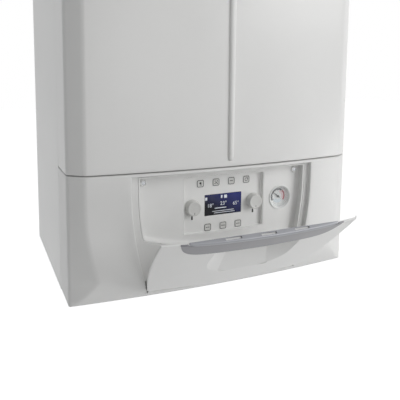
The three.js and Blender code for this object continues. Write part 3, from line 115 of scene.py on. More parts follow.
def place_camera(focal, middle, eye, yaw, pitch, roll):
    """Camera of a square picture: focal length and middle in its pixels, angles in degrees."""
    y, p, r = (math.radians(a) for a in (yaw, pitch, roll))
    ahead = Vector((-math.sin(y) * math.cos(p), math.cos(y) * math.cos(p), math.sin(p)))
    level = Vector((math.cos(y), math.sin(y), 0.0))
    rise = level.cross(ahead)
    right = level * math.cos(r) + rise * math.sin(r)
    up = -level * math.sin(r) + rise * math.cos(r)
    data = bpy.data.cameras.new("camera")
    data.sensor_width = SENSOR
    data.lens = focal / PICTURE * SENSOR
    data.shift_x = (PICTURE / 2 - middle[0]) / PICTURE
    data.shift_y = (middle[1] - PICTURE / 2) / PICTURE
    data.clip_end = 50.0
    camera = bpy.data.objects.new("camera", data)
    bpy.context.scene.collection.objects.link(camera)
    camera.matrix_world = Matrix.Translation(at(eye)) @ Matrix((right, up, -ahead)).transposed().to_4x4()
    bpy.context.scene.camera = camera


place_camera(focal=514.9, middle=(200.0, 120.0), eye=(-446.7, -868.1, 439.3), yaw=-24.2, pitch=-6.6, roll=0.5)


# Materials
WHITE = (1.0, 1.0, 1.0, 1.0)


def linear(colour):
    """Linear values of a colour as it looks on a screen."""
    return [c / 12.92 if c <= 0.04045 else ((c + 0.055) / 1.055) ** 2.4 for c in colour]


def feed(tree, node, values):
    """Sets inputs of a node. A value that is another node's output is linked."""
    for name, value in values.items():
        if isinstance(value, bpy.types.NodeSocket):
            tree.links.new(value, node.inputs[name])
        else:
            node.inputs[name].default_value = value


def add(tree, kind, values, operation=None):
    """New node of a kind, with its inputs set."""
    node = tree.nodes.new("ShaderNode" + kind)
    if operation:
        node.operation = operation
    feed(tree, node, values)
    return node


def shade(tree, share, low, dark, high, light):
    """Colour that goes from dark to light while the share goes from low to high."""
    ramp = add(tree, "ValToRGB", {"Fac": share})
    for end, position, colour in zip(ramp.color_ramp.elements, (low, high), (dark, light)):
        end.position = position
        end.color = (*colour, 1.0)
    return ramp.outputs["Color"]


def finish(name, colour, rough=0.4, metal=0.0, coat=0.0, scale=60.0, tint=0.03, bump=0.02, grain=900.0,
           stretch=(1.0, 1.0, 1.0), alpha=1.0):
    """Painted, moulded or metal surface: slight tint, a fine relief and a roughness that varies."""
    mat = bpy.data.materials.new(name)
    mat.use_nodes = True
    tree = mat.node_tree
    shader = tree.nodes["Principled BSDF"]
    base = linear(colour)
    dark = [max(0.0, c * (1.0 - tint)) for c in base]
    light = [min(1.0, c * (1.0 + tint * 0.6)) for c in base]
    feed(tree, shader, {"Base Color": (*base, 1.0), "Roughness": rough, "Metallic": metal, "Alpha": alpha,
                        "Coat Weight": coat, "Coat Roughness": 0.15})
    place = add(tree, "TexCoord", {})
    spread = add(tree, "Mapping", {"Vector": place.outputs["Object"], "Scale": stretch})
    broad = add(tree, "TexNoise", {"Vector": spread.outputs["Vector"], "Scale": scale, "Detail": 3.0})
    fine = add(tree, "TexNoise", {"Vector": spread.outputs["Vector"], "Scale": grain, "Detail": 2.0})
    sheen = add(tree, "MapRange", {"Value": broad.outputs["Fac"], "To Min": max(0.02, rough - 0.05),
                                   "To Max": min(1.0, rough + 0.05)})
    relief = add(tree, "Bump", {"Height": fine.outputs["Fac"], "Strength": bump, "Distance": 0.0005})
    feed(tree, shader, {"Base Color": shade(tree, broad.outputs["Fac"], 0.3, dark, 0.7, light),
                        "Roughness": sheen.outputs["Result"], "Normal": relief.outputs["Normal"]})
    return mat


ENAMEL = finish("white_enamel_look", (0.90, 0.90, 0.895), rough=0.38, coat=0.15, scale=9.0, tint=0.012,
                bump=0.03)
MOULD = finish("white_moulding_look", (0.90, 0.90, 0.895), rough=0.42, coat=0.05, scale=14.0, tint=0.015,
               bump=0.05)
# Pale grey of tray and insert, made lighter than the white mouldings: its own pale grey with painted light that
# makes up for the shade in the recess
PALE_WITH_PAINTED_LIGHT = finish("pale_grey_with_painted_light_look", (0.945, 0.945, 0.94), rough=0.5, scale=22.0, tint=0.02, bump=0.07)
KEYCAP = finish("keycap_look", (0.87, 0.87, 0.86), rough=0.45, scale=90.0, tint=0.02, bump=0.05)
SILVER = finish("silver_moulding_look", (0.585, 0.59, 0.61), rough=0.36, metal=0.25, scale=40.0, tint=0.05,
                bump=0.05)
# Darker copy of the silver for the grip's front strip: painted shade, as the strip lies under the plate and
# faces down
SHADED_SILVER = finish("silver_painted_shade_look", (0.43, 0.43, 0.445), rough=0.34, metal=0.5, scale=40.0, tint=0.05, bump=0.05)
ZINC = finish("zinc_look", (0.70, 0.71, 0.72), rough=0.42, metal=0.85, scale=30.0, tint=0.16, bump=0.05)
STEEL = finish("stainless_look", (0.76, 0.77, 0.78), rough=0.3, metal=0.95, scale=20.0, tint=0.06, bump=0.06,
               stretch=(1.0, 1.0, 30.0))
ALLOY = finish("cast_alloy_look", (0.62, 0.63, 0.64), rough=0.6, metal=0.75, scale=120.0, tint=0.12, bump=0.35,
               grain=500.0)
BRASS = finish("brass_look", (0.76, 0.63, 0.35), rough=0.32, metal=0.95, scale=60.0, tint=0.1, bump=0.05)
COPPER = finish("copper_look", (0.75, 0.46, 0.31), rough=0.33, metal=0.95, scale=30.0, tint=0.18, bump=0.04)
BLACK = finish("black_moulding_look", (0.13, 0.135, 0.145), rough=0.5, scale=80.0, tint=0.15, bump=0.12)
GREY = finish("grey_moulding_look", (0.33, 0.34, 0.36), rough=0.55, scale=80.0, tint=0.12, bump=0.12)
RED = finish("red_enamel_look", (0.70, 0.15, 0.12), rough=0.32, coat=0.3, scale=12.0, tint=0.06, bump=0.04)
BOARD = finish("board_look", (0.10, 0.36, 0.19), rough=0.4, scale=200.0, tint=0.3, bump=0.1)
PIN = finish("pin_look", (0.72, 0.73, 0.74), rough=0.28, metal=0.95, scale=200.0, tint=0.05, bump=0.05)
INK = finish("ink_look", (0.22, 0.22, 0.23), rough=0.6, scale=300.0, tint=0.1, bump=0.02)
SOFT_INK = finish("soft_ink_look", (0.45, 0.45, 0.45), rough=0.6, scale=300.0, tint=0.1, bump=0.02)
REDINK = finish("red_ink_look", (0.74, 0.20, 0.25), rough=0.55, scale=300.0, tint=0.05, bump=0.02)
PINKINK = finish("pink_ink_look", (0.93, 0.80, 0.81), rough=0.55, scale=200.0)
BLUEINK = finish("blue_ink_look", (0.88, 0.92, 0.94), rough=0.55, scale=200.0, tint=0.05, bump=0.02)
DIAL = finish("dial_look", (0.93, 0.935, 0.93), rough=0.45, scale=60.0, tint=0.01, bump=0.02)
LENS = finish("lens_look", (0.97, 0.98, 0.99), rough=0.08, scale=40.0, tint=0.005, bump=0.0, alpha=0.12)
LIT = finish("lit_mark_look", (0.95, 0.97, 1.0), rough=0.5, scale=300.0, tint=0.01, bump=0.0)


def display_finish():
    """Lit display: deep blue towards the upper right, nearly black towards the lower left."""
    mat = finish("display_look", (0.07, 0.10, 0.26), rough=0.12, coat=0.6, scale=30.0, tint=0.05, bump=0.0)
    tree = mat.node_tree
    low = at((DISPLAY[0] - 0.1, 0.0, DISPLAY[2] - 0.1))
    high = at((DISPLAY[1] + 0.1, 0.0, DISPLAY[3] + 0.1))
    place = add(tree, "TexCoord", {})
    split = add(tree, "SeparateXYZ", {"Vector": place.outputs["Object"]})
    x_share, z_share = (add(tree, "MapRange", {"Value": split.outputs[axis], "From Min": a, "From Max": b})
                        for axis, a, b in (("X", low.x, high.x), ("Z", low.z, high.z)))
    total = add(tree, "Math", {0: x_share.outputs["Result"], 1: z_share.outputs["Result"]}, "ADD")
    mean = add(tree, "Math", {0: total.outputs["Value"], 1: 0.5}, "MULTIPLY")
    colour = shade(tree, mean.outputs["Value"], 0.26, linear((0.03, 0.04, 0.08)),
                   0.85, linear((0.17, 0.20, 0.48)))
    feed(tree, tree.nodes["Principled BSDF"], {"Base Color": colour})
    return mat


SCREEN = display_finish()

FINISHES = {
    "white_enamel": ENAMEL, "white_moulding": MOULD, "pale_grey_moulding": PALE_WITH_PAINTED_LIGHT, "silver_moulding": SILVER,
    "zinc": ZINC, "stainless": STEEL, "cast_alloy": ALLOY, "brass": BRASS, "copper": COPPER,
    "black_moulding": BLACK, "grey_moulding": GREY, "red_enamel": RED, "dial_face": DIAL, "clear_lens": LENS,
    "circuit_board": BOARD, "steel_pin": PIN, "display_glass": SCREEN,
}

for entry in frame["record"]["subparts"]:
    obj = nodes[entry["node"]]
    obj.data.materials.clear()
    obj.data.materials.append(FINISHES[entry["material_slot"]])


# Pieces
def piece(name, parts, material, body, replaces=(), angle=35.0, bevel=0.0, place=at):
    """One mesh object from parts of (points, faces)."""
    points, faces = [], []
    for some, loops in parts:
        start = len(points)
        points.extend(place(p) for p in some)
        faces.extend(tuple(start + i for i in loop) for loop in loops)
    mesh = bpy.data.meshes.new(name)
    mesh.from_pydata([tuple(p) for p in points], [], faces)
    mesh.validate()
    mesh.update()
    mesh.shade_smooth()
    mesh.set_sharp_from_angle(angle=math.radians(angle))
    obj = bpy.data.objects.new(name, mesh)
    bpy.context.scene.collection.objects.link(obj)
    mesh.materials.append(material)
    if bevel:
        soft = obj.modifiers.new("soft", "BEVEL")
        soft.width = bevel / 1000.0
        soft.segments = 3
        soft.limit_method = "ANGLE"
        soft.angle_limit = math.radians(40.0)
        soft.harden_normals = True
    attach(obj, body)
    for node in replaces:
        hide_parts(node)
    return obj


def welded(obj, angle):
    """Joins points that lie on each other, so that shading runs across parts, and turns all faces outwards."""
    mesh = bmesh.new()
    mesh.from_mesh(obj.data)
    bmesh.ops.remove_doubles(mesh, verts=mesh.verts, dist=0.00002)
    bmesh.ops.recalc_face_normals(mesh, faces=mesh.faces)
    mesh.to_mesh(obj.data)
    mesh.free()
    obj.data.shade_smooth()
    obj.data.set_sharp_from_angle(angle=math.radians(angle))


def grid(rows, around=False):
    """Quads between rows of equally many points."""
    n = len(rows[0])
    points = [p for row in rows for p in row]
    faces = []
    for k in range(len(rows) - 1):
        for i in range(n if around else n - 1):
            a, b = k * n + i, k * n + (i + 1) % n
            faces.append((a, b, b + n, a + n))
    return points, faces


def closed(loops, ends):
    """Loops joined in turn, with a face over each end loop that is named."""
    points, faces = grid(loops, around=True)
    n = len(loops[0])
    for end in ends:
        start = end % len(loops) * n
        faces.append(tuple(range(start, start + n)))
    return points, faces


def inside(point, loop):
    """Whether a point lies within a loop."""
    odd = False
    for (ax, az), (bx, bz) in zip(loop, loop[1:] + loop[:1]):
        if (az > point[1]) != (bz > point[1]) and point[0] < ax + (bx - ax) * (point[1] - az) / (bz - az):
            odd = not odd
    return odd


def flat(loops):
    """Triangles between an outer loop and its holes, all in one plane."""
    points = [Vector(p) for loop in loops for p in loop]
    level = max(p.z for p in points) - min(p.z for p in points) < 1e-6
    across = 1 if level else 2
    edges, start = [], 0
    for loop in loops:
        edges += [(start + i, start + (i + 1) % len(loop)) for i in range(len(loop))]
        start += len(loop)
    spots = [Vector((p.x, p[across])) for p in points]
    made, _, tris, _, _, _ = delaunay_2d_cdt(spots, edges, [], 1, 1e-5)
    shapes = [[(p[0], p[across]) for p in loop] for loop in loops]
    kept = []
    for tri in tris:
        centre = [sum(made[i][k] for i in tri) / len(tri) for k in (0, 1)]
        if inside(centre, shapes[0]) and not any(inside(centre, hole) for hole in shapes[1:]):
            kept.append(tuple(tri))
    if level:
        return [(p.x, p.y, points[0].z) for p in made], kept
    return [(p.x, points[0].y, p.y) for p in made], kept


def quarter(steps, first=0):
    """Sine and cosine at even steps of a quarter turn."""
    turns = [math.pi / 2 * i / steps for i in range(first, steps + 1)]
    return [(math.sin(a), math.cos(a)) for a in turns]


def bend(x, z, rx, rz, start, sweep, steps):
    """Points of an arc about (x, z) with two half axes; angles in degrees."""
    turns = [math.radians(start + sweep * i / steps) for i in range(steps + 1)]
    return [(x + rx * math.cos(a), z + rz * math.sin(a)) for a in turns]


def disc(x, z, y, r, n):
    """Loop of a circle in the plane y."""
    turns = [2 * math.pi * i / n for i in range(n)]
    return [(x + r * math.cos(a), y, z + r * math.sin(a)) for a in turns]


def turned(x, z, profile, n):
    """Turned form about an axis along Y: profile points are (radius, y)."""
    return grid([disc(x, z, y, max(r, 0.001), n) for r, y in profile], around=True)


def rounded(x0, x1, z0, z1, r, y, n):
    """Loop of a rounded rectangle in the plane y."""
    corners = ((x1 - r, z1 - r, 0.0), (x0 + r, z1 - r, 90.0), (x0 + r, z0 + r, 180.0),
               (x1 - r, z0 + r, 270.0))
    return [(x, y, z) for cx, cz, start in corners for x, z in bend(cx, cz, r, r, start, 90.0, n)]


def square(x, z, half, r, y, n):
    """Loop of a rounded square about its middle."""
    return rounded(x - half, x + half, z - half, z + half, r, y, n)


def moved(loop, y):
    """The same loop in another plane y."""
    return [(x, y, z) for x, _, z in loop]


def bar(x0, x1, z0, z1, y, deep=0.3):
    """Printed bar with its face in the plane y."""
    loop = [(x0, y, z0), (x1, y, z0), (x1, y, z1), (x0, y, z1)]
    return closed([loop, moved(loop, y + deep)], (0,))


def dot(x, z, y, r, n):
    """Printed dot."""
    return disc(x, z, y, r, n), [tuple(range(n))]


# Form of the casing
def bow_at(x):
    """Depth of the bowed front, at heights above the knee."""
    return -BOW * (1.0 - (x / BREAK) ** 2)


def front_at(x, z):
    """Depth of the front: bowed across, and curved back to the foot."""
    if z >= KNEE:
        return bow_at(x)
    foot = CHAMFER - FOOT_BOW * (1.0 - (x / HALF) ** 2)
    return bow_at(x) + (foot - bow_at(x)) * (1.0 - z / KNEE) ** 2


def break_at(z):
    """Half width of the front."""
    if z >= NARROW_FROM:
        return BREAK
    if z >= KNEE:
        return BREAK - FLARE * ((NARROW_FROM - z) / (NARROW_FROM - KNEE)) ** 2
    return BREAK - FLARE + (HALF - FOOT_IN - (BREAK - FLARE)) * (1.0 - z / KNEE)


def recess_at(z):
    """Half width of the shield-shaped recess."""
    fall = max(0.0, SHIELD_FROM - z) / (SHIELD_FROM - RECESS_LOW)
    return RECESS_HALF - SHIELD * fall ** 1.9


def softened(points, reach, steps=5):
    """The same path with each inner corner drawn as a curve."""
    out = [points[0]]
    for i in range(1, len(points) - 1):
        p, q, r = (Vector(points[k]) for k in (i - 1, i, i + 1))
        a = q + (p - q).normalized() * min(reach, (p - q).length * 0.4)
        b = q + (r - q).normalized() * min(reach, (r - q).length * 0.4)
        for k in range(steps + 1):
            t = k / steps
            out.append(tuple(a * (1 - t) ** 2 + q * 2 * t * (1 - t) + b * t * t))
    out.append(points[-1])
    return out


def inward(points, distance):
    """The same path, set in by a distance."""
    if not distance:
        return points
    out = []
    for i, point in enumerate(points):
        a = Vector(points[max(0, i - 1)])
        b = Vector(point)
        c = Vector(points[min(len(points) - 1, i + 1)])
        first = (b - a) if i else (c - b)
        second = (c - b) if i < len(points) - 1 else first
        n1 = Vector((-first.y, first.x)).normalized()
        n2 = Vector((-second.y, second.x)).normalized()
        mitre = (n1 + n2).normalized()
        out.append(tuple(b + mitre * (distance / max(0.3, mitre.dot(n1)))))
    return out


def left_corner(z):
    """From the rear of the left return to the start of the front, without the front's own first point."""
    x = break_at(z)
    ahead = 12.0 - x
    bent = [(-HALF, 34.0), (-HALF, CHAMFER), (-x, front_at(-x, z)), (ahead, front_at(ahead, z))]
    return [(-HALF, SEAM_Y), (-HALF, 62.0)] + softened(bent, 7.0)


def mirrored(points):
    """Points on the other side of the middle, in reversed order."""
    return [(-x, *rest) for x, *rest in reversed(points)]


# Front cover with its rib
def front_cover():
    """Bowed cover whose rib gets wider upwards and ends in a rounded nose below."""
    wide = [-1.0 + i / 12.0 for i in range(11)]
    rib = [-2.6, -1.7, -1.25, -1.05, -1.0, -0.97, -0.9, -0.78, -0.6, -0.38, -0.18, 0.0]
    rib += [-s for s in reversed(rib[:-1])]
    rib_end, nose = 251.0, 11.0
    edge = BREAK - CORNER

    def row(z, inset):
        height = max(0.0, min(1.0, (z - rib_end) / nose))
        end = math.sqrt(1.0 - (1.0 - height) ** 2)
        half = (5.2 + 2.8 * (z - rib_end) / (TOP - rib_end)) * (0.55 + 0.45 * end)
        left = left_corner(z) + [(edge * s, bow_at(edge * s)) for s in wide]
        middle = []
        for s in rib:
            x = s * half
            lift = math.sqrt(max(0.0, 1.0 - s * s)) ** 0.8 if abs(s) < 1.0 else 0.0
            middle.append((x, bow_at(x) - 4.6 * end * lift))
        return [(x, y, z) for x, y in inward(left + middle + mirrored(left), inset)]

    levels = [(COVER_LOW, 12.0), (COVER_LOW, 1.9), (COVER_LOW + 0.25, 1.0), (COVER_LOW + 0.9, 0.3),
              (COVER_LOW + 1.9, 0.0)]
    levels += [(z, 0.0) for z in (247.0, 250.9, 251.3, 252.0, 253.0, 254.5, 256.5, 259.0, 262.0, 270.0, 300.0,
                                  400.0, 520.0, 640.0, 760.0, 860.0, 890.0)]
    levels += [(TOP - 2.4, 0.0), (TOP - 1.2, 0.35), (TOP - 0.3, 1.2), (TOP, 2.4)]
    rows = [row(z, inset) for z, inset in levels]
    parts = [grid(rows), flat([rows[-1]])]
    for side in (0, -1):
        edge_line = [r[side] for r in rows[4:-3]]
        parts.append(grid([edge_line, [(x * (1.0 - 12.0 / HALF), y, z) for x, y, z in edge_line]]))
    piece("front_cover_skin", parts, ENAMEL, "casing", replaces=["front_cover"], angle=28.0)


front_cover()


# Lower fascia: skin, recess, ledge with the tray's window, and the hollow in which the door's edge swings
def window_half(grow, y, rise, corner, curve):
    """Half of the window's edge, from the top middle round to the lower middle.

    The side ends at the height of the corner, and the lower edge rises to it along a curve.
    """
    high = RECESS_TOP - 2.5 + grow
    reach = 7.0

    def side(z):
        return recess_at(z) - LEDGE + grow

    def sag(x):
        return WINDOW_LOW - grow + rise + curve * x * x

    turn_z = corner + reach
    out = [(side(high) * i / 12.0, y, high) for i in range(12)]
    out += [(side(z), y, z) for z in [high - (high - turn_z) * i / 14.0 for i in range(15)]]
    a = Vector((side(turn_z), turn_z))
    q = Vector((side(corner), corner))
    b = Vector((q.x - reach, sag(q.x - reach)))
    for k in range(1, 9):
        t = k / 8.0
        p = a * (1 - t) ** 2 + q * 2 * t * (1 - t) + b * t * t
        out.append((p.x, y, p.y))
    return out + [(x, y, sag(x)) for x in [b.x * (1.0 - i / 12.0) for i in range(1, 13)]]


def window_loop(grow, y, rise=0.0):
    """Edge of the tray's window: straight above, with a lower edge that rises towards the left."""
    right = window_half(grow, y, rise, 84.5, 0.00006)
    left = window_half(grow, y, rise, 110.0, 0.00097)
    return [(x + WINDOW_SHIFT, yy, z) for x, yy, z in right + mirrored(left[1:-1])]


def fascia():
    """Shell of the lower fascia: bands and pillars round the recess, the ledge and the door's hollow."""
    parts = []
    columns = [-1.0 + 2.0 * i / 40.0 for i in range(41)]

    def full(z, inset):
        edge = break_at(z) - CORNER
        left = left_corner(z)
        front = [(edge * c, front_at(edge * c, z)) for c in columns]
        return [(x, y, z) for x, y in inward(left + front + mirrored(left), inset)]

    top = [(RECESS_TOP + ROUND, 0.0), (FASCIA - 1.9, 0.0), (FASCIA - 0.9, 0.3), (FASCIA - 0.25, 1.0),
           (FASCIA, 1.9), (FASCIA, 14.0)]
    foot = [(0.0, 14.0), (0.0, 2.6), (0.3, 1.4), (1.0, 0.5), (2.4, 0.0), (4.5, 0.0), (7.0, 0.0),
            (RECESS_LOW, 0.0)]
    for band in (top, foot):
        parts.append(grid([full(z, inset) for z, inset in band]))

    # Pillars beside the recess, with the rounded edge and the wall behind it
    levels = [RECESS_LOW, 13.0, 16.0, 20.0, 25.0, 30.0, 36.0, 42.0, 47.0, 54.0, 64.0, 76.0, 90.0, 106.0, 124.0,
              142.0, 160.0, 176.0, 190.0, 202.0, 214.0, 225.0, RECESS_TOP, RECESS_TOP + ROUND]
    for sign in (1.0, -1.0):
        rows = []
        for z in levels:
            wall = recess_at(z)
            start, stop = break_at(z) - CORNER, wall + ROUND
            path = left_corner(z)
            path += [(-x, front_at(x, z)) for x in [start + (stop - start) * i / 9.0 for i in range(9)]]
            path += [(ROUND * s - stop, front_at(stop, z) + ROUND * (1.0 - c)) for s, c in quarter(6)]
            if z < LEDGE_LOW:
                path += [(-wall, 6.0), (-wall, 11.0), (-wall, 16.0)]
            else:
                path += [(-wall, -0.9), (0.15 - wall, -0.3), (0.7 - wall, 0.0)]
            rows.append([(-sign * x, y, z) for x, y in path])
        parts.append(grid(rows))

    # Ceiling of the recess
    reach = [(recess_at(RECESS_TOP) + ROUND) * c for c in columns]
    ceiling = [[(x, bow_at(x) + ROUND * (1 - c), RECESS_TOP + ROUND - ROUND * s) for x in reach]
               for s, c in quarter(6)]
    parts.append(grid(ceiling + [[(x, 0.2, RECESS_TOP) for x in reach]]))

    # Ledge with the tray's window in it, and the window's rounded edge
    side_z = [RECESS_TOP - (RECESS_TOP - LEDGE_LOW) * i / 24.0 for i in range(25)]
    side = [(recess_at(z), 0.0, z) for z in side_z]
    parts.append(flat([side + mirrored(side), window_loop(1.8, 0.0)]))
    lip = [window_loop(1.8 * (1.0 - s), 1.8 * (1.0 - c)) for s, c in quarter(6)]
    parts.append(grid(lip + [window_loop(0.0, 2.8)], around=True))

    # Hollow for the door's lower edge, deeper at its ends, where the hinges are
    ends = recess_at(HINGE[1])
    inner = ends - 5.1
    deep = 7.6
    last_turn = math.radians(-98.0)

    def hollow(x, back):
        front = front_at(x, RECESS_LOW)
        r = math.hypot(front - HINGE[0], DOOR_LOW - HINGE[1]) + 0.5
        start = -math.pi - math.asin(max(-0.97, (RECESS_LOW - HINGE[1]) / r))
        out = [(x, front, RECESS_LOW)]
        for i in range(9):
            a = start + (last_turn - start) * i / 8.0
            out.append((x, HINGE[0] + r * math.cos(a), max(0.3, HINGE[1] + r * math.sin(a))))
        return out + [(x, back, out[-1][2]), (x, back, LEDGE_LOW), (x, 0.0, LEDGE_LOW)]

    parts.append(grid([hollow(inner * c, 0.0) for c in columns]))
    for sign in (1.0, -1.0):
        near, far = hollow(sign * inner, deep), hollow(sign * ends, deep)
        parts.append(grid([near, far]))
        parts.append((far, [tuple(range(len(far)))]))
        low = near[-3][2]
        step = [(sign * inner, y, z) for y, z in ((0.0, low), (deep, low), (deep, LEDGE_LOW), (0.0, LEDGE_LOW))]
        parts.append((step, [(0, 1, 2, 3)]))
    piece("lower_fascia_skin", parts, MOULD, "casing", replaces=["lower_fascia"], angle=30.0)


fascia()


# Control panel
def insert_loop(grow, y):
    """Opening of the insert: straight above, with a lower edge that bulges down in the middle."""
    r = 3.0
    half, low, high = INSERT_HALF + grow, INSERT_LOW - grow, INSERT_TOP + grow
    out = []
    for cx, start in ((MID + half - r, 0.0), (MID - half + r, 90.0)):
        out += [(x, y, z) for x, z in bend(cx, high - r, r, r, start, 90.0, 5)]
    return out + [(MID + s * half, y, low + 2.8 * s * s) for s in [-1.0 + 2.0 * i / 24 for i in range(25)]]


def tray():
    """Tray behind the window, with rounded inner edges and openings for insert, gauge and screws."""
    gap, soft, screw = 0.3, 2.5, 3.2
    rings = []
    for y in (0.3, 3.0, 6.0, 9.0, 11.0, 12.6, 13.8, 14.6, 15.2, 15.6, 15.85, PANEL_Y):
        turn = max(0.0, (y - PANEL_Y + soft) / soft)
        draw = soft * (1.0 - math.sqrt(max(0.0, 1.0 - turn * turn)))
        rise = 7.0 * (1.0 - math.sqrt(max(0.0, 1.0 - (y / PANEL_Y) ** 2)))
        rings.append(window_loop(-gap - draw, y, rise))
    holes = [insert_loop(0.2, PANEL_Y), disc(*GAUGE, PANEL_Y, 24.3, 48)]
    holes += [disc(x, z, PANEL_Y, screw, 20) for x, z in SCREWS]
    parts = [grid(rings, around=True), flat([rings[-1]] + holes)]
    edge = [insert_loop(grow, PANEL_Y + d) for grow, d in ((0.2, 0.0), (0.06, 0.1), (0.0, 0.5), (0.0, 2.5))]
    parts.append(grid(edge, around=True))
    boss = [(7.0, 0.0), (6.9, -2.2), (6.1, -2.9), (4.6, -2.9), (3.6, -1.2), (screw, 0.0)]
    for x, z in SCREWS:
        parts.append(grid([disc(x, z, PANEL_Y, screw, 20), disc(x, z, PANEL_Y + 4.0, screw, 20)], around=True))
        parts.append(turned(x, z, [(r, PANEL_Y + d) for r, d in boss], 28))
    parts.append(grid([window_loop(-gap, 0.3), window_loop(-2.8, 0.3)], around=True))
    piece("control_tray_dish", parts, PALE_WITH_PAINTED_LIGHT, "casing", replaces=["control_tray"],
          angle=30.0)


def insert():
    """Sunk panel with openings for keys, knobs and display."""
    rim = [(-0.06, PANEL_Y + 0.3), (-0.3, PANEL_Y + 0.05), (-1.6, PANEL_Y + 0.05), (-2.0, PANEL_Y + 0.3),
           (-2.0, FLOOR_Y - 1.0), (-2.3, FLOOR_Y - 0.3), (-3.0, FLOOR_Y)]
    rings = [insert_loop(grow, y) for grow, y in rim]
    x0, x1, z0, z1 = DISPLAY
    screen = rounded(x0 - 0.4, x1 + 0.4, z0 - 0.4, z1 + 0.4, 0.8, FLOOR_Y, 2)
    keys = [square(x, z, 7.7, 3.4, FLOOR_Y, 4) for x, z, _ in KEYS]
    shafts = [disc(x, z, FLOOR_Y, 3.3, 16) for x, z, _ in KNOBS]
    parts = [grid(rings, around=True)]
    parts += [grid([loop, moved(loop, FLOOR_Y + 2.0)], around=True) for loop in keys]
    parts.append(flat([rings[-1]] + keys + shafts + [screen]))
    parts.append(grid([screen, moved(screen, FLOOR_Y + 2.0)], around=True))
    piece("control_insert_panel", parts, PALE_WITH_PAINTED_LIGHT, "casing", replaces=["control_insert"],
          angle=30.0)


tray()
insert()


def key_marks(x, z, node, y):
    """Plain marks of a key's print."""
    if node == "key_upper_1":
        return [dot(x, z + 0.8, y, 2.2, 20), bar(x - 0.5, x + 3.2, z - 3.4, z - 2.2, y)]
    if node == "key_upper_2":
        corners = ((-2.4, 2.4), (2.4, 2.4), (-2.4, -2.4), (2.4, -2.4))
        return [dot(x + dx, z + dz, y, 1.1, 14) for dx, dz in corners] + [dot(x, z - 0.4, y, 1.3, 14)]
    if node == "key_upper_3":
        return [bar(x - 3.2, x + 3.2, z - 0.4, z + 0.8, y)]
    if node == "key_upper_4":
        ring = grid([disc(x, z, y, 3.4, 24), disc(x, z, y, 2.6, 24)], around=True)
        return [ring, bar(x + 1.6, x + 4.2, z + 1.8, z + 3.0, y)]
    return [bar(x - 3.6, x - 0.6, z - 0.6, z + 0.7, y), bar(x + 0.4, x + 3.6, z - 0.6, z + 0.7, y)]


def key(x, z, node):
    """Cap with a soft edge, a printed outline and plain marks."""
    top = FLOOR_Y - 0.8
    loops = []
    for inset, y in ((0.0, FLOOR_Y + 2.2), (0.0, top + 0.7), (0.2, top + 0.25), (0.6, top), (1.5, top),
                     (3.0, top + 0.15)):
        loops.append(square(x, z, 7.3 - inset, max(0.6, 3.0 - inset), y, 4))
    piece(node + "_shape", [closed(loops, (-1,))], KEYCAP, node + "_cap", replaces=[node])
    outline = [square(x, z, 6.9, 2.8, top - 0.04, 5), square(x, z, 5.9, 2.0, top - 0.04, 5)]
    marks = [grid(outline, around=True)] + key_marks(x, z, node, top - 0.05)
    piece(node + "_print", marks, INK, node + "_cap")


for spot in KEYS:
    key(*spot)


def knob(x, z, node):
    """Knob with a raised rim and a collar, and its tick."""
    face = FLOOR_Y - 14.0
    shape = [(0.0, 0.5), (9.6, 0.5), (10.8, 0.4), (11.7, 0.05), (12.4, 0.0), (13.4, 0.15), (14.1, 0.7),
             (14.35, 1.5), (14.7, 8.6), (14.9, 9.4), (15.7, 10.2), (16.0, 11.0), (16.0, 13.4), (3.0, 13.4),
             (3.0, 23.0), (0.0, 23.0)]
    piece(node + "_shape", [turned(x, z, [(r, face + d) for r, d in shape], 72)], KEYCAP, node + "_body",
          replaces=[node], angle=40.0)
    tick = bar(x - 0.45, x + 0.45, z - 12.6, z - 7.4, face + 0.2, 0.4)
    piece(node + "_tick", [tick], SOFT_INK, node + "_body")


for spot in KNOBS:
    knob(*spot)


def pointers():
    """Small pointers printed under the knobs."""
    parts = []
    for x, _, _ in KNOBS:
        loop = [(x + dx, FLOOR_Y - 0.06, z)
                for dx, z in ((-1.9, 131.2), (1.9, 131.2), (1.3, 138.6), (-1.3, 138.6))]
        parts.append((loop, [(0, 1, 2, 3)]))
    piece("knob_pointers", parts, BLACK, "casing")


pointers()


def display_pane():
    """Glass of the display, closed in front."""
    loops = [rounded(*DISPLAY, 0.6, y, 2) for y in (FLOOR_Y + 2.0, FLOOR_Y, FLOOR_Y - 0.25)]
    piece("display_pane", [closed(loops, (-1,))], SCREEN, "casing",
          replaces=["display_window"])


def number(name, text, x, z, size):
    """Number shown on the display, as a mesh."""
    data = bpy.data.curves.new(name, "FONT")
    data.body = text
    data.size = size / 1000.0
    data.align_x = "CENTER"
    data.align_y = "CENTER"
    data.extrude = 0.00005
    data.resolution_u = 3
    text_obj = bpy.data.objects.new(name + "_text", data)
    bpy.context.scene.collection.objects.link(text_obj)
    upright = Matrix.Rotation(math.radians(90.0), 4, "X")
    text_obj.matrix_world = Matrix.Translation(at((x, SHOWN_Y, z))) @ upright
    bpy.context.view_layer.update()
    mesh = bpy.data.meshes.new_from_object(text_obj.evaluated_get(bpy.context.evaluated_depsgraph_get()))
    mesh.transform(text_obj.matrix_world)
    bpy.data.objects.remove(text_obj)
    obj = bpy.data.objects.new(name, mesh)
    mesh.name = name
    bpy.context.scene.collection.objects.link(obj)
    mesh.materials.clear()
    mesh.materials.append(LIT)
    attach(obj, "casing")


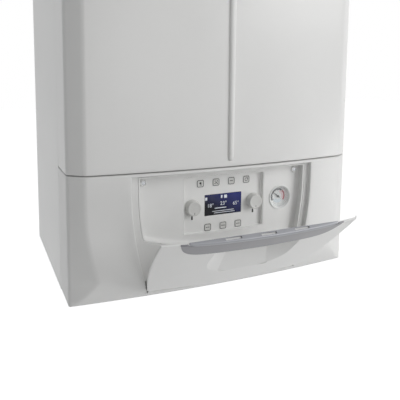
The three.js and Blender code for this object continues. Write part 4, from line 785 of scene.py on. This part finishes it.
def display_marks():
    """Bars and small fields beside the numbers: left and right from the middle, lower and upper edge."""
    boxes = ((-39.5, -35.2, 166.5, 172.5), (-5.2, -1.8, 168.5, 174.5), (1.8, 8.2, 168.0, 174.5),
             (-18.5, 7.0, 148.2, 149.9), (-24.0, 24.0, 142.6, 143.7), (-20.0, 26.0, 139.0, 140.1))
    parts = [bar(MID + x0, MID + x1, z0, z1, SHOWN_Y, 0.1) for x0, x1, z0, z1 in boxes]
    piece("display_marks", parts, LIT, "casing")


display_pane()
number("display_number_left", "18°", MID - 28.0, 155.0, 10.5)
number("display_number_middle", "23°", MID + 0.5, 157.5, 10.5)
number("display_number_right", "65°", MID + 28.5, 155.0, 10.0)
display_marks()


# Pressure gauge
def arc(r0, r1, a0, a1, n=28):
    """Flat sector of a ring on the dial: angles in degrees, clockwise from straight up."""
    turns = [math.radians(a0 + (a1 - a0) * i / n) for i in range(n + 1)]
    y = PANEL_Y + 8.0 - 0.08
    x, z = GAUGE
    return grid([[(x + r * math.sin(a), y, z + r * math.cos(a)) for a in turns] for r in (r0, r1)])


def gauge():
    """Bezel that slopes down to the dial, the case behind it and the printed scale."""
    bezel = [(26.0, -0.3), (25.9, -1.0), (25.2, -1.5), (24.2, -1.6), (23.2, -1.2), (22.6, -0.4), (21.0, 2.6),
             (19.0, 6.9), (18.6, 7.8), (18.2, 8.0), (0.0, 8.0)]
    case = [(26.0, -0.3), (24.0, -0.3), (24.0, 28.0), (4.0, 28.0), (4.0, 44.0), (0.0, 44.0)]
    parts = [turned(*GAUGE, [(r, PANEL_Y + d) for r, d in profile], n)
             for profile, n in ((bezel, 72), (case, 36))]
    piece("gauge_case", parts, DIAL, "casing", replaces=["gauge_body"], angle=40.0)
    ticks = [arc(11.9, 15.2, a - 2.2, a + 2.2, 3) for a in range(-120, 31, 30)]
    piece("gauge_scale_dark", [arc(13.4, 17.0, -122, 40)] + ticks, INK, "casing")
    piece("gauge_scale_red", [arc(13.6, 17.0, 42, 125)], REDINK, "casing")
    piece("gauge_scale_pink", [arc(9.0, 14.2, 20, 115)], PINKINK, "casing")
    piece("gauge_scale_blue", [arc(6.5, 14.0, 140, 235)], BLUEINK, "casing")


gauge()


# Door
POCKET_HALF = 84.5
POCKET_LOW = 98.0
POCKET_TURN = 165.0  # height at which the pocket's edge starts to turn
POCKET_HIGH = 218.0
FOLD_HALF = 50.0
POCKET_HOLLOW = 1.6
FRAME_HALF = 100.0  # half width and lower edge of the door's part that holds the pocket
FRAME_LOW = 82.0


def pocket_floor(x, z):
    """Floor of the finger pocket: it leans back, is hollowed across, and comes forward again under the grip."""
    up, down = z - POCKET_LOW, POCKET_HIGH - z
    lean = -BOW + 0.42 * up
    roof = -7.5 + 0.36 * down
    hollow = POCKET_HOLLOW * (1.0 - min(1.0, abs(x) / FOLD_HALF) ** 2) * min(1.0, max(0.0, up / 30.0))
    return min(lean + hollow, roof)


def scoop_path():
    """Half of the pocket's edge, from its upper end down and round to the middle."""
    out = [(POCKET_HALF, POCKET_HIGH), (POCKET_HALF, POCKET_TURN)]
    power = 2 / 3.3  # of a curve that is fuller than an ellipse
    for i in range(1, 201):
        a = math.pi / 2 * (i / 200.0) ** 1.6
        out.append((POCKET_HALF * math.cos(a) ** power,
                    POCKET_TURN - (POCKET_TURN - POCKET_LOW) * math.sin(a) ** power))
    out[-1] = (0.0, POCKET_LOW)
    return out


def fold_path():
    """Half of the fold between the pocket's flank and its floor: it leans inwards to the top."""
    top_half, turn_low = 33.0, 104.0
    out = []
    for i in range(31):
        out.append((top_half + (FOLD_HALF - top_half) * (i / 30.0) ** 1.6,
                    POCKET_HIGH - (POCKET_HIGH - turn_low) * i / 30.0))
    return out + [(49.6, 102.4), (48.4, 101.2), (46.0, 100.5), (42.0, 100.2), (0.0, 100.0)]


def spread(path, shares):
    """Points at the given shares of a polyline's length."""
    lengths = [0.0]
    for p, q in zip(path, path[1:]):
        lengths.append(lengths[-1] + math.dist(p, q))
    out, k = [], 0
    for share in shares:
        goal = share * lengths[-1]
        while k < len(path) - 2 and lengths[k + 1] < goal:
            k += 1
        span = max(1e-9, lengths[k + 1] - lengths[k])
        t = min(1.0, max(0.0, (goal - lengths[k]) / span))
        out.append(tuple(a + (b - a) * t for a, b in zip(path[k], path[k + 1])))
    return out


def between(a, b, t):
    """Path at a share of the way from one path to another."""
    return [(p[0] + (q[0] - p[0]) * t, p[1] + (q[1] - p[1]) * t) for p, q in zip(a, b)]


def door_side(z):
    """Half width of the door: the recess less its gap."""
    return recess_at(z) - (1.4 if z > 40.0 else 0.6 + 0.02 * z)


def edge_round(z):
    """Radius of the door's side edge, which gets smaller towards the hinge."""
    return ROUND if z > 60.0 else 0.7 + 1.5 * max(0.0, z - 12.0) / 48.0


def wing(z, sink=0.0):
    """From behind the door's right edge, round it and across to the pocket's part, at one height."""
    side, r = door_side(z), edge_round(z)
    start = side - r
    front = front_at(start, z) + sink
    out = [(side - 0.1, front + r + 1.4, z), (side, front + r + 0.5, z)]
    out += [(side - r * (1 - c), front + r * (1 - s), z) for s, c in quarter(7)]
    across = [start + (FRAME_HALF - start) * i / 16.0 for i in range(1, 17)]
    return out + [(x, front_at(x, z) + sink, z) for x in across]


def pocket(side_z):
    """Skin round the pocket, the pocket's flanks, floor and ceiling."""
    across = [FRAME_HALF * (1.0 - i / 20.0) for i in range(1, 21)]
    half_frame = [(FRAME_HALF, z) for z in side_z] + [(x, FRAME_LOW) for x in across]
    whole = FRAME_HALF + POCKET_HIGH - FRAME_LOW
    shares = [(POCKET_HIGH - z) / whole for z in side_z] + [1.0 - x / whole for x in across]
    rim = spread(scoop_path(), shares)
    # The pocket's lower corner lies at the first share of its rim and at the second share of its fold
    a, b = 0.6, 0.69
    fold = spread(fold_path(), [s * b / a if s < a else b + (s - a) * (1.0 - b) / (1.0 - a) for s in shares])

    def both(path):
        return path + mirrored(path[:-1])

    rows = []
    for t in (0.0, 0.2, 0.4, 0.6, 0.8, 0.93, 0.975, 1.0):
        rows.append([(x, front_at(x, z), z) for x, z in both(between(half_frame, rim, t))])
    for t in (0.03, 0.07, 0.2, 0.4, 0.6, 0.8, 0.93, 0.97, 1.0):
        row = []
        for (x, z), (rx, rz), (fx, fz) in zip(both(between(rim, fold, t)), both(rim), both(fold)):
            start, stop = front_at(rx, rz), pocket_floor(fx, fz)
            row.append((x, start + (stop - start) * t, z))
        rows.append(row)
    for t in (0.98, 0.94, 0.85, 0.7, 0.5, 0.3, 0.12, 0.0):
        rows.append([(x * t, pocket_floor(x * t, z), z) for x, z in both(fold)])
    ends = [row[0] for row in rows[7:]] + [row[-1] for row in reversed(rows[7:])]
    return [grid(rows), grid([ends, [(x, front_at(x, z), z) for x, _, z in ends]])]


def door():
    """Bowed door with rounded edges and the finger pocket, as a shell."""
    side_z = [POCKET_HIGH - (POCKET_HIGH - FRAME_LOW) * i / 26.0 for i in range(27)]
    parts = pocket(side_z)

    # Wings beside the pocket, up to the rounded upper edge
    soft, crest = 3.4, DOOR_TOP - 2.2
    upper = [(crest - soft - 5.0, 0.0)] + [(crest - soft * (1 - s), soft * (1 - c)) for s, c in quarter(8)]
    for sign in (1.0, -1.0):
        rows = [wing(z, sink) for z, sink in reversed(upper)] + [wing(z) for z in side_z]
        parts.append(grid([[(sign * x, y, z) for x, y, z in row] for row in rows]))

    # Band behind the grip
    middle = [FRAME_HALF * (1.0 - i / 20.0) for i in range(41)]
    band = (DOOR_TOP - 4.0, POCKET_HIGH + 4.0, POCKET_HIGH)
    parts.append(grid([[(x, bow_at(x) + 1.2, z) for x in middle] for z in band]))

    # The whole width below the pocket, down to the rounded lower edge
    def full(z, sink=0.0):
        right = wing(z, sink)
        return right + [(x, front_at(x, z) + sink, z) for x in middle[1:-1]] + mirrored(right)

    rows = [full(FRAME_LOW - (FRAME_LOW - DOOR_LOW - ROUND) * i / 22.0) for i in range(23)]
    rows += [full(DOOR_LOW + ROUND * (1 - s), ROUND * (1 - c)) for s, c in quarter(6, first=1)]
    rows.append([(x, y + 1.6, z) for x, y, z in rows[-1]])
    parts.append(grid(rows))
    skin = piece("door_skin", parts, MOULD, "door", replaces=["door_shell"], angle=50.0,
                 place=on_door)
    welded(skin, 14.0)
    wall = skin.modifiers.new("wall", "SOLIDIFY")
    wall.thickness = 0.0019
    wall.offset = -1.0


door()


def hinge_ears():
    """Two flat ears that join the door to its hinge pins."""
    outer = recess_at(HINGE[1]) - 2.2
    inner = outer - 2.5
    reach = 5.0
    y0, z0 = HINGE
    front = front_at(outer, z0) + 1.4
    ring = [(y, z) for y, _, z in disc(y0, z0, 0.0, reach, 24)]
    box = [(front, z0 - reach), (y0, z0 - reach), (y0, z0 + reach), (front, z0 + reach)]
    parts = []
    for sign in (1.0, -1.0):
        for shape in (ring, box):
            parts.append(closed([[(sign * x, y, z) for y, z in shape] for x in (inner, outer)], (0, -1)))
    piece("door_ears", parts, MOULD, "door", bevel=0.4, place=on_door)


hinge_ears()

# Grip of the door
GRIP = 157.5  # half length of the front strip
PLATE = 143.0  # half length of the top plate
GRIP_BACK = -9.4
PLATE_TOP = 231.3
NOSE = 225.2  # lower edge of the plate's nose
SLOT_DEEP = 2.4


def proud_at(x):
    """How far the grip stands out from the door's front."""
    return 0.5 + 1.2 * (1.0 - min(1.0, abs(x) / GRIP) ** 6)


def closer(half, n=72):
    """Places along a half length to both sides, closer together towards the ends."""
    return [half * math.sin(math.pi / 2 * (-1.0 + 2.0 * i / n)) for i in range(n + 1)]


def grip_strip():
    """Front strip, which gets lower towards its rounded ends."""
    xs = closer(GRIP)
    crest = NOSE + 2.0
    lows = [231.0 - 43.0 * (1.0 - min(1.0, abs(x) / GRIP) ** 10) ** 0.77 for x in xs]
    rows = []
    for s, _ in quarter(5):
        cut = 1.4 * (1 - s)
        rows.append([(x, bow_at(x) - 0.45 + cut, min(crest, low + cut)) for x, low in zip(xs, lows)])
    for share in (0.1, 0.3, 0.5, 0.7, 0.9, 1.0):
        row = []
        for x, low in zip(xs, lows):
            start = min(crest, low + 1.4)
            high = NOSE if abs(x) < PLATE else crest
            z = start + (max(high, start) - start) * share
            row.append((x, bow_at(x) - 0.45 - (proud_at(x) - 0.5) * share, z))
        rows.append(row)
    last = rows[-1]
    rows += [[(x, y + 1.2 * (1 - c), z + 1.2 * s) for x, y, z in last] for s, c in quarter(5, first=1)]
    rows.append([(x, GRIP_BACK + 0.4, z) for x, _, z in rows[-1]])
    # The strip takes the darker copy of the silver, which is painted shade
    piece("door_grip_strip", [grid(rows)], SHADED_SILVER, "door", replaces=["door_handle"],
          angle=40.0, place=on_door)


def grip_plate():
    """Top plate: flat above, with three slots and a soft nose that laps over the strip."""
    xs = closer(PLATE)
    soft = 2.6
    noses = [bow_at(x) - proud_at(x) - 0.25 + 2.0 * (abs(x) / PLATE) ** 24 for x in xs]

    def line(back, z):
        return [(x, y + back, z) for x, y in zip(xs, noses)]

    rows = [line(soft * (1 - s), PLATE_TOP - soft * (1 - c)) for s, c in quarter(6)]
    rows += [line(0.0, NOSE + 1.4), line(0.0, NOSE + 0.2)]
    under = [line(0.5, NOSE - 0.1), line(2.0, NOSE - 0.1)]
    outer = [(-PLATE, GRIP_BACK, PLATE_TOP)] + rows[0] + [(PLATE, GRIP_BACK, PLATE_TOP)]
    slots = []
    for place in (-1, 0, 1):
        x = place * 66.0 - 0.6
        y = bow_at(x) + 3.9
        slots.append([(px, py, PLATE_TOP) for cx, start in ((x + 13.4, -90.0), (x - 13.4, 90.0))
                      for px, py in bend(cx, y, 1.6, 2.0, start, 180.0, 6)])
    parts = [grid(rows + under), flat([outer] + slots)]
    parts += [grid([slot, [(x, y, z - SLOT_DEEP) for x, y, z in slot]], around=True) for slot in slots]
    for end in (0, -1):
        side = [row[end] for row in rows]
        parts.append(grid([side, [(x, GRIP_BACK, z) for x, _, z in side]]))
    parts.append(grid([[(x, GRIP_BACK, z) for x in (-PLATE, PLATE)] for z in (PLATE_TOP, NOSE)]))
    piece("door_grip_plate", parts, SILVER, "door", angle=38.0, place=on_door)


def slot_floor():
    """Pale floor seen through the slots."""
    xs = [-120.0 + 15.0 * i for i in range(17)]
    z = PLATE_TOP - SLOT_DEEP
    sunk = [[(x, bow_at(x) + 0.6, z) for x in xs], [(x, GRIP_BACK + 0.2, z) for x in xs]]
    piece("door_slot_floor", [grid(sunk)], MOULD, "door", place=on_door)


grip_strip()
grip_plate()
slot_floor()


# Floor, background and light
AMBIENT = 0.265


def white_rays(tree):
    """Camera, mirror and see-through rays, which see the floor and the background as white."""
    path = add(tree, "LightPath", {})
    last = path.outputs["Is Camera Ray"]
    for name in ("Is Glossy Ray", "Is Transmission Ray"):
        last = add(tree, "Math", {0: last, 1: path.outputs[name]}, "MAXIMUM").outputs["Value"]
    return last


def backdrop():
    """Large floor far below the casing, which glows a little for the rays that see it."""
    mat = bpy.data.materials.new("floor_look")
    mat.use_nodes = True
    tree = mat.node_tree
    shader = tree.nodes["Principled BSDF"]
    feed(tree, shader, {"Base Color": (0.86, 0.86, 0.86, 1.0), "Roughness": 0.9})
    seen = add(tree, "Math", {0: white_rays(tree), 1: 0.75}, "MULTIPLY")
    glow = add(tree, "Emission", {"Color": WHITE, "Strength": seen.outputs["Value"]})
    both = add(tree, "AddShader", {0: shader.outputs["BSDF"], 1: glow.outputs["Emission"]})
    feed(tree, tree.nodes["Material Output"], {"Surface": both.outputs["Shader"]})
    mesh = bpy.data.meshes.new("floor")
    z = (-420.0 - RISE) / 1000.0
    mesh.from_pydata([(-8, -8, z), (8, -8, z), (8, 8, z), (-8, 8, z)], [], [(0, 1, 2, 3)])
    mesh.materials.append(mat)
    floor = bpy.data.objects.new("floor", mesh)
    bpy.context.scene.collection.objects.link(floor)


def sky():
    """White background for the rays that see it, and a soft even light for all others."""
    world = bpy.data.worlds.new("studio")
    world.use_nodes = True
    bpy.context.scene.world = world
    tree = world.node_tree
    soft = tree.nodes["Background"]
    feed(tree, soft, {"Color": WHITE, "Strength": AMBIENT})
    shown = add(tree, "Background", {"Color": WHITE})
    mix = add(tree, "MixShader", {"Fac": white_rays(tree), 1: soft.outputs["Background"],
                                  2: shown.outputs["Background"]})
    feed(tree, tree.nodes["World Output"], {"Surface": mix.outputs["Shader"]})


def lamp(name, position, target, size, power, colour=(1.0, 1.0, 1.0)):
    """Lamp with a rectangular face: places and sizes in metres, power in watts."""
    data = bpy.data.lights.new(name, "AREA")
    data.shape = "RECTANGLE"
    data.size, data.size_y = size
    data.energy = power
    data.color = colour
    obj = bpy.data.objects.new(name, data)
    bpy.context.scene.collection.objects.link(obj)
    direction = Vector(target) - Vector(position)
    turn = direction.to_track_quat("-Z", "Y").to_matrix().to_4x4()
    obj.matrix_world = Matrix.Translation(Vector(position)) @ turn


bpy.context.scene.view_settings.view_transform = "Standard"
backdrop()
sky()
lamp("key", (2.3, -2.85, 0.9), (0.0, -0.3, -0.5), (1.6, 2.2), 55.0)
lamp("front", (0.3, -3.6, -0.4), (0.0, -0.4, -0.65), (0.9, 0.9), 5.0)
lamp("low", (2.0, -1.6, -1.15), (0.0, -0.45, -0.75), (0.4, 0.4), 6.0)
lamp("fill", (-2.8, 0.2, 0.4), (0.0, -0.3, -0.5), (1.6, 2.0), 4.0, (0.9, 0.97, 1.0))
